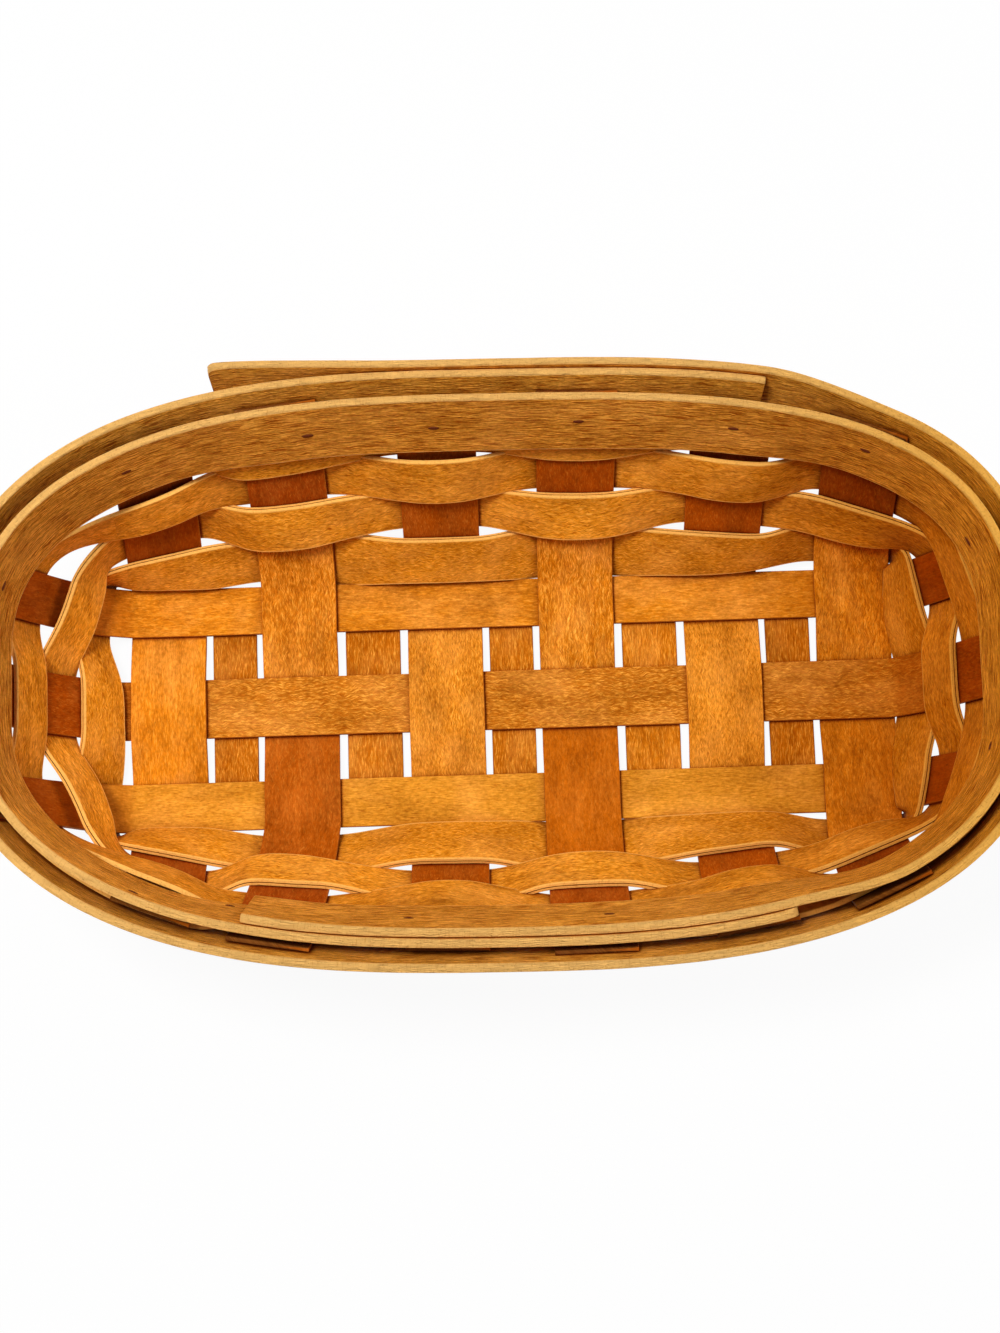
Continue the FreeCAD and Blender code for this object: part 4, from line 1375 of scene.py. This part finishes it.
class BASKET_OT_tacks(BasketOperator, bpy.types.Operator):
    """Make the tacks through the rim, with their heads outside and their points inside"""
    bl_idname = "basket.tacks"
    bl_label = "Tacks"

    def execute(self, context):
        wall = Wall(context.scene)
        metal = steel_material(context.scene.basket_colours)
        for name, places in (("tack_heads", head_places(wall)), ("tack_points", point_places(wall))):
            points, facing, run = map(list, zip(*places))
            labels = ("Head Length", "Head Width", "Dome")
            values = {label: size * MM for label, size in zip(labels, TACK_SIZES[name])}
            helper = point_object(name + "_places", points, {"facing": facing, "run": run})
            finish_piece(plain_mesh(name, helper, tack_tree(), values | {"Seed": TACK_SEED, "Metal": metal}),
                         "tack_steel")
        return {"FINISHED"}


class BASKET_OT_stage(BasketOperator, bpy.types.Operator):
    """Set up the floor, the lamps and the camera"""
    bl_idname = "basket.stage"
    bl_label = "Stage"

    def execute(self, context):
        make_floor()
        make_light(context.scene)
        make_camera(context.scene)
        return {"FINISHED"}


# Half side of the floor, its place under the basket and its colour
FLOOR_HALF = 4.0
FLOOR_DROP = 0.2 * MM
FLOOR_GREY = (0.80, 0.80, 0.80, 1)

# Share of the floor's shadow that shows, and the distances over which it fades
SHADOW_SHARE = 0.06
SHADOW_FADE = (0.25, 1.0)

# Lamps: name, property of the power, length of a side and place
LAMPS = (("Key Lamp", "key_power", 0.28, (-0.30, 0.14, 0.92)), ("Side Lamp", "side_power", 0.5, (0.75, 0.08, 0.42)))

# Width of the camera's sensor in millimetres, its near limit, and the places of it and of what it looks at
SENSOR = 36.0
NEAREST = 10 * MM
EYE = Vector((-1.0, -88.8, 570.8)) * MM
AIM = Vector((-1.0, -17.5, 0.0)) * MM


def seen_white(tree, lit, shader_kind):
    """Adds white for rays that show the background, and leaves the lit look for the rest."""
    camera, glossy, through = [field(tree, "ShaderNodeLightPath", output="Is %s Ray" % kind)
                               for kind in ("Camera", "Glossy", "Transmission")]
    seen = camera.maths("MAXIMUM", glossy.maths("MAXIMUM", through))
    white = field(tree, shader_kind, {"Color": WHITE, "Strength": 1.0})
    return field(tree, "ShaderNodeMixShader", {0: seen, 1: lit, 2: white})


def make_floor():
    def surface(tree):
        lit = field(tree, "ShaderNodeBsdfDiffuse", {"Color": FLOOR_GREY})
        away = field(tree, "ShaderNodeTexCoord", output="Object").vector("LENGTH")
        shown = field(tree, "ShaderNodeMapRange", {
            "Value": away, "From Min": SHADOW_FADE[0], "From Max": SHADOW_FADE[1], "To Min": SHADOW_SHARE,
            "To Max": 0.0}, interpolation_type="SMOOTHSTEP")
        return field(tree, "ShaderNodeMixShader", {0: shown, 1: seen_white(tree, lit, "ShaderNodeEmission"), 2: lit})

    mesh = bpy.data.meshes.new("floor")
    mesh.from_pydata([(x * FLOOR_HALF, y * FLOOR_HALF, 0) for x, y in ((-1, -1), (1, -1), (1, 1), (-1, 1))], [],
                     [(0, 1, 2, 3)])
    mesh.materials.append(surfaced(bpy.data.materials.new("Pale Floor"), "ShaderNodeOutputMaterial", surface))
    floor = linked("floor", mesh)
    floor.location.z = -FLOOR_DROP


def make_light(scene):
    """Square lamps that shine on the middle of the basket, and even light from all sides."""
    sizes = scene.basket_stage
    for name, power_name, side, place in LAMPS:
        data = bpy.data.lights.new(name, "AREA")
        data.shape = "SQUARE"
        data.size = side
        data.energy = getattr(sizes, power_name)
        lamp = linked(name, data)
        lamp.location = place
        lamp.rotation_euler = (-lamp.location).to_track_quat("-Z", "Y").to_euler()

    def surface(tree):
        lit = field(tree, "ShaderNodeBackground", {"Color": WHITE, "Strength": sizes.fill_strength})
        return seen_white(tree, lit, "ShaderNodeBackground")

    scene.world = surfaced(bpy.data.worlds.new("Studio"), "ShaderNodeOutputWorld", surface)


def make_camera(scene):
    sizes = scene.basket_stage
    data = bpy.data.cameras.new("Camera")
    data.sensor_width = SENSOR
    data.sensor_fit = "AUTO"
    data.lens = sizes.focal_pixels * data.sensor_width / sizes.picture_height
    data.shift_y = (sizes.axis_row - sizes.picture_height / 2) / sizes.picture_height
    data.clip_start = NEAREST
    turn = (AIM - EYE).to_track_quat("-Z", "Y").to_matrix() @ Matrix.Rotation(-math.radians(sizes.roll), 3, "Z")
    scene.camera = linked("Camera", data)
    scene.camera.matrix_world = Matrix.Translation(EYE) @ turn.to_4x4()
    scene.view_settings.view_transform = "Standard"


class BASKET_PT_panel(bpy.types.Panel):
    bl_idname = "BASKET_PT_panel"
    bl_label = "Basket"
    bl_space_type = "VIEW_3D"
    bl_region_type = "UI"
    bl_category = "Basket"

    def draw(self, context):
        for operator in OPERATORS:
            self.layout.operator(operator.bl_idname)
        for label, group in GROUPS.items():
            box = self.layout.box()
            for prop in group.__annotations__:
                box.prop(getattr(context.scene, label), prop)


OPERATORS = (BASKET_OT_lengthwise, BASKET_OT_crosswise, BASKET_OT_fillers, BASKET_OT_weavers,
             BASKET_OT_bands, BASKET_OT_tacks, BASKET_OT_stage)


def register():
    for kind in (*GROUPS.values(), *OPERATORS, BASKET_PT_panel):
        bpy.utils.register_class(kind)
    for label, group in GROUPS.items():
        setattr(bpy.types.Scene, label, bpy.props.PointerProperty(type=group))


def unregister():
    for label in GROUPS:
        delattr(bpy.types.Scene, label)
    for kind in (BASKET_PT_panel, *OPERATORS, *GROUPS.values()):
        bpy.utils.unregister_class(kind)


def main():
    register()
    bpy.ops.basket.lengthwise()
    bpy.ops.basket.crosswise()
    bpy.ops.basket.fillers()
    bpy.ops.basket.weavers()
    bpy.ops.basket.bands()
    bpy.ops.basket.tacks()
    bpy.ops.basket.stage()


if __name__ == "__main__":
    main()
